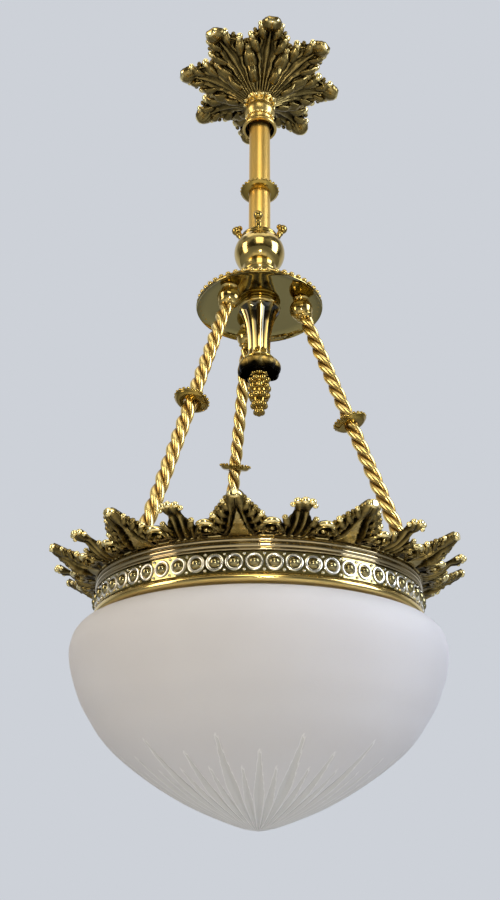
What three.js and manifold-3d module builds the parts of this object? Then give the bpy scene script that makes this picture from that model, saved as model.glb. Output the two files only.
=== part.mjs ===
// Bowl pendant for the ceiling: a leaf rose over a knuckle joint, a tube stem with a ball, a beaded plate
// with three rope arms, a bead gallery with a leaf coronet, and a glass bowl held by three turn catches
import * as THREE from 'three';
import { mergeGeometries, mergeVertices } from 'three/addons/utils/BufferGeometryUtils.js';
import Module from 'manifold-3d';

const wasm = await Module();
wasm.setup();

// Main sizes in millimetres, heights measured up from the lower edge of the gallery
const galleryRadius = 136;
const galleryHeight = 32;
const hangHeight = 634;
const bowlRadius = 152.5;
const bowlDepth = 156;
const bowlWall = 4.5;
const plateRadius = 62.3;
const plateHeight = 312.8;
const plateDepth = 20;
const stemRadius = 11.1;
const stemWall = 1.2;
const ballRadius = 25.4;
const ballRise = 69.4;
const knuckleDrop = 22;
const stemHeadroom = 20;
const roseRadius = 88;
const armRadius = 6.35;
const armFootRise = 9;
const armFootInset = 5.7;
const socketDrop = 13.5;
const socketLength = 11.5;
const socketInset = 20.3;
const seatGap = 0.3;
const wireRadius = 1.4;
const wireBore = 2;

// Turns and counts
const fullTurn = Math.PI * 2;
const armCount = 3;
const armStep = fullTurn / armCount;
const crestCount = 11;
const crestStep = fullTurn / crestCount;
const crestStart = (-82 * Math.PI) / 180;
const roseCount = 8;
const roseStart = (-67.5 * Math.PI) / 180;
const catchStart = Math.PI / 3;
const lampBarTurn = Math.PI / 9;

// Sizes that follow from the main ones
const plateSkin = 1.8;
const plateFlatShare = 0.235;
const plateTop = plateHeight + plateDepth;
const plateFlatHeight = plateHeight + plateDepth * plateFlatShare;
const stemFootHeight = plateTop + ballRise;
const knuckleHeight = hangHeight - knuckleDrop;
const stemTopHeight = knuckleHeight - stemHeadroom;
const socketHeight = plateFlatHeight - socketDrop;
const socketRadiusAt = plateRadius - socketInset;
const armFootHeight = galleryHeight + armFootRise;
const armFootRadius = galleryRadius - armFootInset;
const armSlope = (socketRadiusAt - armFootRadius) / (socketHeight - armFootHeight);
const armTopHeight = socketHeight - socketLength;
const armLean = Math.atan(armSlope);
const armLength = (armTopHeight - armFootHeight) / Math.cos(armLean);

// Finishes
const finish = (color, roughness, metalness, more = {}) =>
  new THREE.MeshStandardMaterial({ color, roughness, metalness, ...more });
const brass = finish(0xc79a3f, 0.22, 1);
const brightBrass = finish(0xd9ac4a, 0.16, 1);
const castBrass = finish(0x8d7434, 0.34, 1);
const steel = finish(0x9a9892, 0.4, 1);
const frosted = finish(0xd3ccca, 0.62, 0);
const lampGlass = finish(0xf1ede2, 0.45, 0);
const creamPlastic = finish(0xe9e4d8, 0.5, 0);
const flexCover = finish(0x8a6a35, 0.8, 0);

// Shape helpers
const weldSpan = 0.0005;
function welded(geometry) {
  const bare = geometry.index ? geometry.toNonIndexed() : geometry.clone();
  bare.deleteAttribute('normal');
  bare.deleteAttribute('uv');
  const merged = mergeVertices(bare, weldSpan);
  const at = merged.attributes.position;
  const index = merged.index.array;
  const kept = [];
  let volume = 0;
  const a = new THREE.Vector3();
  const b = new THREE.Vector3();
  const c = new THREE.Vector3();
  for (let i = 0; i < index.length; i += 3) {
    const [p, q, r] = [index[i], index[i + 1], index[i + 2]];
    if (p === q || q === r || r === p) continue;
    kept.push(p, q, r);
    a.fromBufferAttribute(at, p);
    b.fromBufferAttribute(at, q);
    c.fromBufferAttribute(at, r);
    volume += a.dot(b.cross(c));
  }
  if (volume < 0) kept.reverse();
  merged.setIndex(kept);
  return merged;
}

function solid(geometry) {
  const ready = welded(geometry);
  return new wasm.Manifold(
    new wasm.Mesh({
      numProp: 3,
      vertProperties: new Float32Array(ready.attributes.position.array),
      triVerts: new Uint32Array(ready.index.array),
    }),
  );
}

function unsolid(body) {
  const mesh = body.getMesh();
  const geometry = new THREE.BufferGeometry();
  geometry.setAttribute('position', new THREE.BufferAttribute(new Float32Array(mesh.vertProperties), 3));
  geometry.setIndex(Array.from(mesh.triVerts));
  return geometry;
}

const joined = (...shapes) => unsolid(shapes.map(solid).reduce((all, next) => all.add(next)));

const cut = (shape, ...holes) =>
  unsolid(holes.map(solid).reduce((left, hole) => left.subtract(hole), solid(shape)));

// A solid of revolution about the upright axis, from pairs of radius and height
function turned(pairs, sides) {
  const points = pairs.map(([radius, height]) => new THREE.Vector2(radius, height));
  if (points[0].x > 0 || points[points.length - 1].x > 0) points.push(points[0].clone());
  return new THREE.LatheGeometry(points, sides).rotateX(Math.PI / 2);
}

const shares = (list, radius, height) => list.map(([r, h]) => [r * radius, h * height]);

function rod(radius, bottom, top, sides = 12) {
  return new THREE.CylinderGeometry(radius, radius, top - bottom, sides)
    .rotateX(Math.PI / 2)
    .translate(0, 0, (top + bottom) / 2);
}

// A round hole whose flats stand clear of the pin or tube inside it
const bore = (radius, bottom, top, sides = 10) => rod(radius / Math.cos(Math.PI / sides), bottom, top, sides);

const block = (x0, x1, y0, y1, z0, z1) =>
  new THREE.BoxGeometry(x1 - x0, y1 - y0, z1 - z0).translate((x0 + x1) / 2, (y0 + y1) / 2, (z0 + z1) / 2);

// A closed solid through a row of rings that all have the same number of points
function lofted(rings) {
  const sides = rings[0].length;
  const positions = rings.flat().flatMap((p) => [p.x, p.y, p.z]);
  const index = [];
  for (let i = 0; i + 1 < rings.length; i += 1) {
    for (let j = 0; j < sides; j += 1) {
      const k = (j + 1) % sides;
      const [a, b, c, d] = [i * sides + j, i * sides + k, (i + 1) * sides + k, (i + 1) * sides + j];
      index.push(a, b, c, a, c, d);
    }
  }
  for (const start of [0, (rings.length - 1) * sides]) {
    for (let j = 1; j + 1 < sides; j += 1) {
      if (start === 0) index.push(start, start + j + 1, start + j);
      else index.push(start, start + j, start + j + 1);
    }
  }
  const geometry = new THREE.BufferGeometry();
  geometry.setAttribute('position', new THREE.BufferAttribute(new Float32Array(positions), 3));
  geometry.setIndex(index);
  return welded(geometry);
}

// A closed sheet between a face and a back, both given as rows of points
function sheet(face, back) {
  const rows = face.length;
  const columns = face[0].length;
  const positions = [...face.flat(), ...back.flat()].flatMap((p) => [p.x, p.y, p.z]);
  const offset = rows * columns;
  const at = (i, j) => i * columns + j;
  const index = [];
  const quad = (a, b, c, d) => index.push(a, b, c, a, c, d);
  for (let i = 0; i + 1 < rows; i += 1) {
    for (let j = 0; j + 1 < columns; j += 1) {
      quad(at(i, j), at(i, j + 1), at(i + 1, j + 1), at(i + 1, j));
      quad(offset + at(i + 1, j), offset + at(i + 1, j + 1), offset + at(i, j + 1), offset + at(i, j));
    }
  }
  for (let j = 0; j + 1 < columns; j += 1) {
    const last = rows - 1;
    quad(at(0, j + 1), at(0, j), offset + at(0, j), offset + at(0, j + 1));
    quad(at(last, j), at(last, j + 1), offset + at(last, j + 1), offset + at(last, j));
  }
  for (let i = 0; i + 1 < rows; i += 1) {
    const last = columns - 1;
    quad(at(i, 0), at(i + 1, 0), offset + at(i + 1, 0), offset + at(i, 0));
    quad(at(i + 1, last), at(i, last), offset + at(i, last), offset + at(i + 1, last));
  }
  const geometry = new THREE.BufferGeometry();
  geometry.setAttribute('position', new THREE.BufferAttribute(new Float32Array(positions), 3));
  geometry.setIndex(index);
  return welded(geometry);
}

// A tube along straight runs with eased corners, or along given points where no corner is eased
const easeShare = 0.49;
const easeSteps = 2;
function wire(points, radius, sides, corner = 0) {
  const line = [points[0]];
  for (let i = 1; i + 1 < points.length; i += 1) {
    const [before, at, after] = [points[i - 1], points[i], points[i + 1]];
    if (corner === 0) {
      line.push(at);
      continue;
    }
    const near = Math.min(corner, before.distanceTo(at) * easeShare);
    const far = Math.min(corner, after.distanceTo(at) * easeShare);
    const start = at.clone().lerp(before, near / before.distanceTo(at));
    const end = at.clone().lerp(after, far / after.distanceTo(at));
    line.push(...new THREE.QuadraticBezierCurve3(start, at, end).getPoints(easeSteps));
  }
  line.push(points[points.length - 1]);
  let across = new THREE.Vector3(1, 0, 0);
  const first = line[1].clone().sub(line[0]).normalize();
  if (Math.abs(first.x) > 0.8) across = new THREE.Vector3(0, 1, 0);
  const rings = line.map((at, i) => {
    const ahead = line[Math.min(i + 1, line.length - 1)].clone().sub(at).normalize();
    const behind = at.clone().sub(line[Math.max(i - 1, 0)]).normalize();
    const along = ahead.clone().add(behind).normalize();
    across = across.clone().addScaledVector(along, -across.dot(along)).normalize();
    const up = along.clone().cross(across);
    return Array.from({ length: sides }, (_, j) => {
      const turn = (fullTurn * j) / sides;
      return at
        .clone()
        .addScaledVector(across, radius * Math.cos(turn))
        .addScaledVector(up, radius * Math.sin(turn));
    });
  });
  return lofted(rings);
}

function put(parent, name, geometry, material) {
  const mesh = new THREE.Mesh(geometry, material.clone());
  mesh.name = name;
  parent.add(mesh);
  return mesh;
}

const object = new THREE.Group();
const pendant = new THREE.Group();
pendant.position.z = -hangHeight;
object.add(pendant);

// Knuckle joint between the ceiling and the stem
const knuckleHalf = 6.5;
const forkInner = knuckleHalf + seatGap + seatGap;
const forkOuter = 10.2;
const forkHalfWidth = 4.5;
const forkReach = 5.5;
const forkRootGap = 9.6;
const pinRadius = 2;
const pinBore = pinRadius + seatGap;
const ceilingPlateRadius = 36;
const ceilingPlateThickness = 4;
const ceilingScrewCircle = 28;
const ceilingScrewRadius = 2.3;
const ceilingWireCircle = 16;
const ceilingWireRadius = 4.5;
const forkRootRadius = 12;
const plateUnderside = hangHeight - ceilingPlateThickness;

function ceilingPlate() {
  const disc = rod(ceilingPlateRadius, plateUnderside, hangHeight, 24);
  const holes = [0, 1, 2].map((k) => {
    const turn = fullTurn * (k / 3 + 1 / 4);
    return rod(ceilingScrewRadius, plateUnderside - seatGap, hangHeight + seatGap, 6).translate(
      ceilingScrewCircle * Math.cos(turn),
      ceilingScrewCircle * Math.sin(turn),
      0,
    );
  });
  const wireHole = rod(ceilingWireRadius, plateUnderside - seatGap, hangHeight + seatGap, 8);
  return cut(disc, ...holes, wireHole.translate(0, -ceilingWireCircle, 0));
}
put(pendant, 'ceiling_plate', ceilingPlate(), steel);

function fork(rootBottom, rootTop, tip, radius) {
  const root = rod(radius, rootBottom, rootTop, 16);
  const inside = tip > rootTop ? rootTop - seatGap : rootBottom + seatGap;
  const arms = [-1, 1].map((side) =>
    block(
      -forkHalfWidth,
      forkHalfWidth,
      side > 0 ? forkInner : -forkOuter,
      side > 0 ? forkOuter : -forkInner,
      Math.min(inside, tip),
      Math.max(inside, tip),
    ),
  );
  const pinHole = bore(pinBore, -forkOuter - seatGap, forkOuter + seatGap, 8)
    .rotateX(Math.PI / 2)
    .translate(0, 0, knuckleHeight);
  return cut(joined(root, ...arms), pinHole);
}
const ceilingFork = fork(
  knuckleHeight + forkRootGap,
  plateUnderside - seatGap,
  knuckleHeight - forkReach,
  forkRootRadius,
).rotateZ(Math.PI / 2);
put(pendant, 'ceiling_fork', ceilingFork, steel);

const stemForkRootTop = knuckleHeight - forkRootGap;
const wireOffset = 5.4;
const stemFork = cut(
  fork(stemTopHeight + seatGap, stemForkRootTop, knuckleHeight + forkReach, stemRadius),
  bore(wireBore, stemTopHeight, stemForkRootTop + seatGap, 8).translate(wireOffset, wireOffset, 0),
);
put(pendant, 'stem_fork', stemFork, steel);

function knuckle() {
  const cube = block(
    -knuckleHalf,
    knuckleHalf,
    -knuckleHalf,
    knuckleHalf,
    knuckleHeight - forkHalfWidth,
    knuckleHeight + forkHalfWidth,
  );
  const pinX = rod(pinRadius, -forkOuter, forkOuter, 8)
    .rotateY(Math.PI / 2)
    .translate(0, 0, knuckleHeight);
  const pinY = rod(pinRadius, -forkOuter, forkOuter, 8)
    .rotateX(Math.PI / 2)
    .translate(0, 0, knuckleHeight);
  return joined(cube, pinX, pinY);
}
put(pendant, 'knuckle_block', knuckle(), steel);

// Terminal block under the ceiling plate
const terminalLength = 20;
const terminalWidth = 9;
const terminalDepth = 9.5;
const terminalCentre = 23;
const terminalScrewRadius = 2;
function terminalBlock() {
  const top = plateUnderside - seatGap;
  const body = block(
    -terminalCentre - terminalWidth / 2,
    -terminalCentre + terminalWidth / 2,
    -terminalLength / 2,
    terminalLength / 2,
    top - terminalDepth,
    top,
  );
  const wells = [-1, 1].map((side) =>
    rod(terminalScrewRadius, top - terminalDepth - seatGap, top - terminalDepth / 2, 6).translate(
      -terminalCentre,
      (side * terminalLength) / 4,
      0,
    ),
  );
  return cut(body, ...wells);
}
put(pendant, 'terminal_block', terminalBlock(), creamPlastic);

// Ceiling rose: turned cup that slides on the stem, with eight cast leaves
const roseNeckBore = stemRadius + seatGap;
const roseCupRadius = 34;
const roseCupHeight = 58.5;
const roseCupRise = 10;
const roseFootHeight = stemTopHeight + roseCupRise - roseCupHeight;
const roseCupWall = 1.8;
const roseNeckShares = [
  [0.488, 0],
  [0.497, 0.043],
  [0.447, 0.12],
  [0.391, 0.214],
  [0.388, 0.265],
  [0.459, 0.325],
  [0.479, 0.407],
  [0.456, 0.477],
  [0.385, 0.564],
  [0.391, 0.651],
  [0.45, 0.708],
  [1, 1],
];
const roseNeckKnobShare = 0.407;
const roseKnobShare = 0.479;
const roseThroatShares = [0.73, 0.668, 0.214, 0.06];
const roseMouthShare = 0.441;
const roseScrewRadius = 1.5;
const roseScrewHead = 2.6;
const roseScrewHeadLength = 2.4;
function roseCup() {
  const outer = shares(roseNeckShares, roseCupRadius, roseCupHeight);
  const [slope, throat, waist, mouth] = roseThroatShares.map((share) => share * roseCupHeight);
  const inner = [
    [roseCupRadius - roseCupWall, roseCupHeight],
    [roseNeckBore + roseCupWall, slope],
    [roseNeckBore, throat],
    [roseNeckBore, waist],
    [roseCupRadius * roseMouthShare, mouth],
    [roseCupRadius * roseMouthShare, 0],
  ];
  const shell = turned([...outer, ...inner], 16).translate(0, 0, roseFootHeight);
  const hole = bore(roseScrewRadius + seatGap, 0, roseCupRadius, 6)
    .rotateY(Math.PI / 2)
    .translate(0, 0, roseFootHeight + roseCupHeight * roseNeckKnobShare);
  return cut(shell, hole.rotateZ(Math.PI / 2));
}
put(pendant, 'rose_cup', roseCup(), brass);

const roseScrewStart = roseNeckBore + seatGap;
const roseKnobRadius = roseCupRadius * roseKnobShare;
const roseScrew = joined(
  rod(roseScrewRadius, roseScrewStart, roseKnobRadius + roseScrewHeadLength, 6),
  rod(roseScrewHead, roseKnobRadius + seatGap, roseKnobRadius + seatGap + roseScrewHeadLength, 8),
)
  .rotateY(Math.PI / 2)
  .rotateZ(Math.PI / 2)
  .translate(0, 0, roseFootHeight + roseCupHeight * roseNeckKnobShare);
put(pendant, 'rose_screw', roseScrew, brass);

// One leaf of the rose: rows run outward, each with its radius, height and half width
const roseLeafThickness = 2.2;
const roseLeafRise = 63;
const roseLeafRoot = 7.5;
const roseLeafShares = [
  [0.1785, 0.525, 0.058, 0.004],
  [0.41, 0.79, 0.14, 0.03],
  [0.6, 0.915, 0.225, 0.06],
  [0.75, 0.96, 0.165, 0.05],
  [0.87, 0.985, 0.18, 0.04],
  [1, 0.91, 0.06, 0.01],
];
const roseLeafAcrossShares = [-1, -0.45, 0, 0.45, 1];
const roseLeafReliefShares = [0.4, -0.9, 0.9, -0.9, 0.4];
const roseLeafReliefDepth = 1.2;
const roseLeafFullShare = 0.15;
function roseLeaf() {
  const face = [];
  const back = [];
  for (const [out, up, half, fold] of roseLeafShares) {
    const radius = out * roseRadius;
    const height = roseFootHeight + roseLeafRoot + up * roseLeafRise;
    const reach = roseLeafAcrossShares.map((share) => share * half * roseRadius);
    const lift = roseLeafAcrossShares.map((share) => share * share * fold * roseRadius);
    const ease = Math.min(1, half / roseLeafFullShare);
    back.push(reach.map((y, j) => new THREE.Vector3(radius, y, height + lift[j])));
    face.push(
      reach.map(
        (y, j) =>
          new THREE.Vector3(
            radius + roseLeafThickness / 2,
            y,
            height + lift[j] - roseLeafThickness + roseLeafReliefShares[j] * roseLeafReliefDepth * ease,
          ),
      ),
    );
  }
  return sheet(face, back);
}
for (let k = 0; k < roseCount; k += 1) {
  const leaf = put(pendant, `rose_leaf_${k + 1}`, roseLeaf(), castBrass);
  leaf.rotation.z = roseStart + (fullTurn * k) / roseCount;
}

// Stem tube, its disc collar and the ball with four scroll hooks
const stemBore = stemRadius - stemWall;
put(
  pendant,
  'stem_tube',
  turned(
    [
      [stemBore, stemFootHeight + seatGap],
      [stemRadius, stemFootHeight + seatGap],
      [stemRadius, stemTopHeight],
      [stemBore, stemTopHeight],
    ],
    18,
  ),
  brightBrass,
);

const collarRadius = 20.2;
const collarShare = 0.289;
const collarHeight = stemFootHeight + (stemTopHeight - stemFootHeight) * collarShare;
const collarThickness = 5;
const discTeeth = 10;
const discShares = [
  [0.94, -0.5, 0],
  [1, 0.1, 0.05],
  [0.94, 0.55, 0.08],
  [0.7, 0.5, 0],
];
// A thin disc whose upper edge has a row of beads, with a bore for the bar that carries it
function beadedDisc(radius, thickness, hole, teeth) {
  const ring = (share, height, swell) =>
    Array.from({ length: teeth * 2 }, (_, j) => {
      const turn = (Math.PI * j) / teeth;
      const out = share * radius * (1 + (j % 2 ? -swell : 0));
      return new THREE.Vector3(out * Math.cos(turn), out * Math.sin(turn), height * thickness);
    });
  const body = lofted(discShares.map(([share, height, swell]) => ring(share, height, swell)));
  return cut(body, bore(hole, -thickness, thickness, 10));
}
const stemCollar = beadedDisc(collarRadius, collarThickness, stemRadius + seatGap, discTeeth);
put(pendant, 'stem_collar', stemCollar, brass).position.z = collarHeight;

const ballHeight = 46.4;
const ballCentre = stemFootHeight - ballHeight / 2;
const ballBore = 4;
const centreRodRadius = 5.1;
const centreRodSeat = 12;
const ballCupShares = [
  [0.59, 0],
  [0.59, 0.08],
  [0.47, 0.2],
  [0.5, 0.33],
  [0.68, 0.41],
  [0.7, 0.48],
  [0.645, 0.55],
];
const ballCupTurn = (-48 * Math.PI) / 180;
const ballPole = (66 * Math.PI) / 180;
const ballRings = 5;
function ballBody() {
  const half = ballHeight / 2;
  const foot = plateTop + seatGap;
  const outer = shares(ballCupShares, ballRadius, ballCentre - foot).map(([r, h]) => [r, h + foot]);
  for (let j = 0; j <= ballRings; j += 1) {
    const turn = ballCupTurn + ((ballPole - ballCupTurn) * j) / ballRings;
    outer.push([ballRadius * Math.cos(turn), ballCentre + (half * Math.sin(turn)) / Math.sin(ballPole)]);
  }
  const inner = [
    [ballBore, stemFootHeight],
    [ballBore, plateTop + centreRodSeat + seatGap],
    [centreRodRadius + seatGap, plateTop + centreRodSeat + seatGap],
    [centreRodRadius + seatGap, plateTop + seatGap],
  ];
  return turned([...outer, ...inner], 16);
}
put(pendant, 'ball_body', ballBody(), brightBrass);

// Crown ring over the ball with four small scroll hooks
const crownRadius = 16.4;
const crownHeight = 6;
const crownSides = 12;
const crownShares = [
  [1, -0.46],
  [1.04, -0.1],
  [0.97, 0.35],
  [0.82, 0.8],
];
const hookRadius = 2.1;
const hookCount = 4;
const hookStart = Math.PI / 18;
const hookShares = [
  [0.9, 0.1],
  [1.12, 0.55],
  [1.2, 1.25],
  [1.34, 1.4],
  [1.43, 0.95],
];
const hookKnob = 2.9;
function ballCrown() {
  const hole = (stemRadius + seatGap) / Math.cos(Math.PI / crownSides);
  const ring = turned(
    [[hole, 0], ...shares(crownShares, crownRadius, crownHeight), [hole, crownHeight]],
    crownSides,
  );
  const hooks = [];
  for (let k = 0; k < hookCount; k += 1) {
    const path = hookShares.map(([r, h]) => new THREE.Vector3(r * crownRadius, 0, h * crownHeight));
    const end = path[path.length - 1];
    const stalk = wire(path, hookRadius, 4);
    const knob = new THREE.SphereGeometry(hookKnob, 6, 3).translate(end.x, end.y, end.z);
    const turn = hookStart + (fullTurn * k) / hookCount;
    hooks.push(stalk.rotateZ(turn), knob.rotateZ(turn));
  }
  return joined(ring, ...hooks);
}
put(pendant, 'ball_crown', ballCrown(), brass).position.z = stemFootHeight + seatGap;

// Plate: a polished dish below and a domed cover above, with the wiring space between them
const plateSides = 22;
const plateBore = (centreRodRadius + seatGap) / Math.cos(Math.PI / plateSides);
const dishFlatShare = 0.78;
const dishShares = [
  [dishFlatShare, plateFlatShare],
  [0.9, 0.17],
  [0.965, 0.05],
  [0.99, 0],
  [1, 0.1],
  [0.955, 0.13],
  [0.93, 0.2],
];
const nippleRadius = 3.6;
const aroundArms = (make) => Array.from({ length: armCount }, (_, k) => make().rotateZ(armStep * k));
function plateDish() {
  const outer = shares(dishShares, plateRadius, plateDepth).map(([r, h]) => [r, h + plateHeight]);
  const inner = [
    [plateRadius * dishFlatShare, plateFlatHeight + plateSkin],
    [plateBore, plateFlatHeight + plateSkin],
    [plateBore, plateFlatHeight],
  ];
  const holes = aroundArms(() =>
    bore(nippleRadius + seatGap, plateHeight, plateTop, 6).translate(socketRadiusAt, 0, 0),
  );
  return cut(turned([...outer, ...inner], plateSides), ...holes);
}
put(pendant, 'plate_dish', plateDish(), brightBrass);

const coverShares = [
  [0.975, 0.185],
  [1.003, 0.235],
  [0.985, 0.35],
  [0.955, 0.48],
  [0.9, 0.5],
  [0.8, 0.66],
  [0.6, 0.88],
  [0.4, 1],
];
const coverInnerShares = [
  [0.4, 0.91],
  [0.58, 0.78],
  [0.78, 0.56],
  [0.92, 0.3],
];
function plateCover() {
  const outer = shares(coverShares, plateRadius, plateDepth).map(([r, h]) => [r, h + plateHeight]);
  const hole = [
    [plateBore, plateTop],
    [plateBore, plateTop - plateSkin],
  ];
  const inner = shares(coverInnerShares, plateRadius, plateDepth).map(([r, h]) => [r, h + plateHeight]);
  return turned([...outer, ...hole, ...inner], plateSides);
}
put(pendant, 'plate_cover', plateCover(), brass);

// Hollow centre rod from the ball down to the finial, slotted for the wiring in the plate
const trumpetTop = plateFlatHeight - seatGap;
const trumpetLength = 59.7;
const trumpetFoot = trumpetTop - trumpetLength;
const cupHeight = 17;
const cupTop = trumpetFoot - seatGap;
const cupFoot = cupTop - cupHeight;
const finialSeat = 1.3;
const finialTop = cupFoot + finialSeat;
const finialLength = 44;
const rodSeat = 14;
const rodFoot = finialTop - rodSeat;
function centreRod() {
  const top = plateTop + centreRodSeat;
  const bar = rod(centreRodRadius, rodFoot, top, 12);
  const wireWay = bore(wireBore, plateFlatHeight + plateSkin + wireBore, top + seatGap, 8);
  const slotFoot = plateFlatHeight + plateSkin + wireBore;
  const slot = block(0, centreRodRadius * 2, -wireBore, wireBore, slotFoot, plateTop);
  return cut(bar, wireWay, slot);
}
put(pendant, 'centre_rod', centreRod(), steel);

// Trumpet below the plate: convex flutes that taper down to the cup
const trumpetRadius = 21;
const trumpetFlutes = 12;
const trumpetRows = [
  [0.93, 1, 0],
  [1, 0.965, 0],
  [0.96, 0.915, 0.03],
  [0.83, 0.81, 0.07],
  [0.69, 0.66, 0.08],
  [0.575, 0.48, 0.08],
  [0.515, 0.26, 0.06],
  [0.52, 0, 0],
];
function fluted(rows, radius, bottom, height, flutes) {
  const sides = flutes * 2;
  return lofted(
    rows.map(([out, up, depth]) =>
      Array.from({ length: sides }, (_, j) => {
        const turn = (fullTurn * j) / sides;
        const reach = radius * out * (1 - (j % 2 ? depth : 0));
        return new THREE.Vector3(reach * Math.cos(turn), reach * Math.sin(turn), bottom + up * height);
      }),
    ),
  );
}
const rodHole = (bottom, top) => bore(centreRodRadius + seatGap, bottom - seatGap, top + seatGap, 12);
put(
  pendant,
  'trumpet_boss',
  cut(
    fluted(trumpetRows, trumpetRadius, trumpetFoot, trumpetTop - trumpetFoot, trumpetFlutes),
    rodHole(trumpetFoot, trumpetTop),
  ),
  brass,
);

// Lobed cup, hollow below
const cupRadius = 20.8;
const cupLobes = 10;
const cupRows = [
  [0.7, 1, 0],
  [0.72, 0.82, 0.02],
  [0.92, 0.62, 0.06],
  [1, 0.34, 0.12],
  [0.93, 0.06, 0.14],
  [0.86, 0, 0.14],
  [0.87, 0.36, 0.12],
  [0.68, 0.6, 0.06],
  [0.42, 0.68, 0],
];
const finialCup = cut(fluted(cupRows, cupRadius, cupFoot, cupHeight, cupLobes), rodHole(cupFoot, cupTop));
put(pendant, 'finial_cup', finialCup, brass);

// Berry finial, rows of staggered berries
const berryRadius = 10.4;
const berryRows = 6;
const berryAround = 8;
const berryValleyShare = 0.8;
const berryOutlineShares = [
  [0.72, 1],
  [0.86, 0.86],
  [0.98, 0.68],
  [1, 0.52],
  [0.86, 0.34],
  [0.62, 0.16],
  [0.3, 0.02],
];
function outlineAt(list, up) {
  for (let i = 0; i + 1 < list.length; i += 1) {
    const [r0, h0] = list[i];
    const [r1, h1] = list[i + 1];
    if (up <= h0 && up >= h1) return r0 + ((r1 - r0) * (h0 - up)) / (h0 - h1);
  }
  return list[list.length - 1][0];
}
function berryFinial() {
  const rings = [];
  const steps = berryRows * 2;
  for (let i = 0; i <= steps; i += 1) {
    const up = 1 - i / steps;
    const base = outlineAt(berryOutlineShares, up) * berryRadius;
    rings.push(
      Array.from({ length: berryAround * 2 }, (_, j) => {
        const turn = (Math.PI * j) / berryAround;
        const row = Math.floor(i / 2);
        const crown = i % 2 === 1 && (j + row) % 2 === 0 ? 1 : 0;
        const reach = base * (crown ? 1 : berryValleyShare);
        const height = finialTop - finialLength * (1 - up);
        return new THREE.Vector3(reach * Math.cos(turn), reach * Math.sin(turn), height);
      }),
    );
  }
  return cut(lofted(rings), rodHole(rodFoot, finialTop));
}
put(pendant, 'berry_finial', berryFinial(), brass);

// Rope arms with their sockets, rosettes and feet, each built along its own axis
const ropeStrands = 3;
const ropeLead = 34.5;
const ropeStepsPerTurn = 6;
const ropeValleyShare = 0.78;
const rosetteRadius = 15.6;
const rosetteThickness = 4.6;
const rosetteShare = 0.548;
const rosetteTeeth = 9;
const socketBall = 10.6;
const socketDistance = socketLength / Math.cos(armLean);
const nutRadius = 6;
const nutHeight = 3;
const nippleRise = 0.8;
const bossRadius = 6.8;
const ferruleRadius = 7.4;
const ferruleDepth = 3.6;
const lugHalfWidth = 7;
const ledgeInset = 5.5;
const ledgeTop = galleryHeight - ledgeInset;
const ledgeThickness = 3;
const wallInset = 3;
const wallThickness = 1.8;
const ledgeWidth = 9.7;
const wallOuterRadius = galleryRadius - wallInset;
const wallInnerRadius = wallOuterRadius - wallThickness;
const ledgeRadius = wallInnerRadius - ledgeWidth;
const lugInset = 1.5;
const lugInnerRadius = ledgeRadius + lugInset;
const lugShoulder = 6.2;
const bandSides = 30;
const socketCollarShares = [
  [0.5, 0],
  [0.48, 0.16],
  [0.7, 0.22],
  [0.74, 0.4],
];
const socketBallTurns = [-50, -18, 14, 50].map((degrees) => (degrees * Math.PI) / 180);
const ferruleShares = [
  [0.9, -1],
  [1, -0.5],
];
const ferruleTopShare = 0.88;
const lugTopShare = 0.7;
const lugScrewShare = 0.55;

function ropeArm() {
  const turns = armLength / ropeLead;
  const steps = Math.round(turns * ropeStepsPerTurn);
  const sides = ropeStrands * 2;
  const rings = [];
  for (let i = 0; i <= steps; i += 1) {
    const twist = (-fullTurn * turns * i) / steps;
    rings.push(
      Array.from({ length: sides }, (_, j) => {
        const turn = twist + (fullTurn * j) / sides;
        const reach = armRadius * (j % 2 ? ropeValleyShare : 1);
        return new THREE.Vector3(reach * Math.cos(turn), reach * Math.sin(turn), (armLength * i) / steps);
      }),
    );
  }
  return cut(lofted(rings), bore(wireBore, -seatGap, armLength + seatGap, 6));
}

function alongArm(geometry) {
  return geometry.rotateY(armLean).translate(armFootRadius, 0, armFootHeight);
}

function armSocket() {
  const collar = shares(socketCollarShares, socketBall, socketDistance);
  const round = socketBallTurns.map((turn) => [
    socketBall * Math.cos(turn),
    socketDistance + socketBall * Math.sin(turn),
  ]);
  const pole = [0, socketDistance + socketBall];
  const ball = turned([[0, 0], ...collar, ...round, pole], 8).translate(0, 0, armLength + seatGap);
  const top = plateFlatHeight - seatGap;
  const nutBottom = plateFlatHeight + plateSkin + seatGap;
  const boss = rod(bossRadius, socketHeight, top, 8).translate(socketRadiusAt, 0, 0);
  const nipple = rod(nippleRadius, socketHeight, nutBottom + nutHeight + nippleRise, 8);
  const nut = rod(nutRadius, nutBottom, nutBottom + nutHeight, 6);
  const above = block(0, plateRadius, -plateRadius, plateRadius, top, plateTop);
  const lower = cut(joined(alongArm(ball), boss), above);
  const whole = joined(lower, nipple.translate(socketRadiusAt, 0, 0), nut.translate(socketRadiusAt, 0, 0));
  const upright = bore(wireBore, socketHeight - wireBore, plateTop, 6).translate(socketRadiusAt, 0, 0);
  const leaning = alongArm(bore(wireBore, armLength, armLength + socketDistance + wireRadius, 6));
  return cut(whole, upright, leaning);
}

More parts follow.
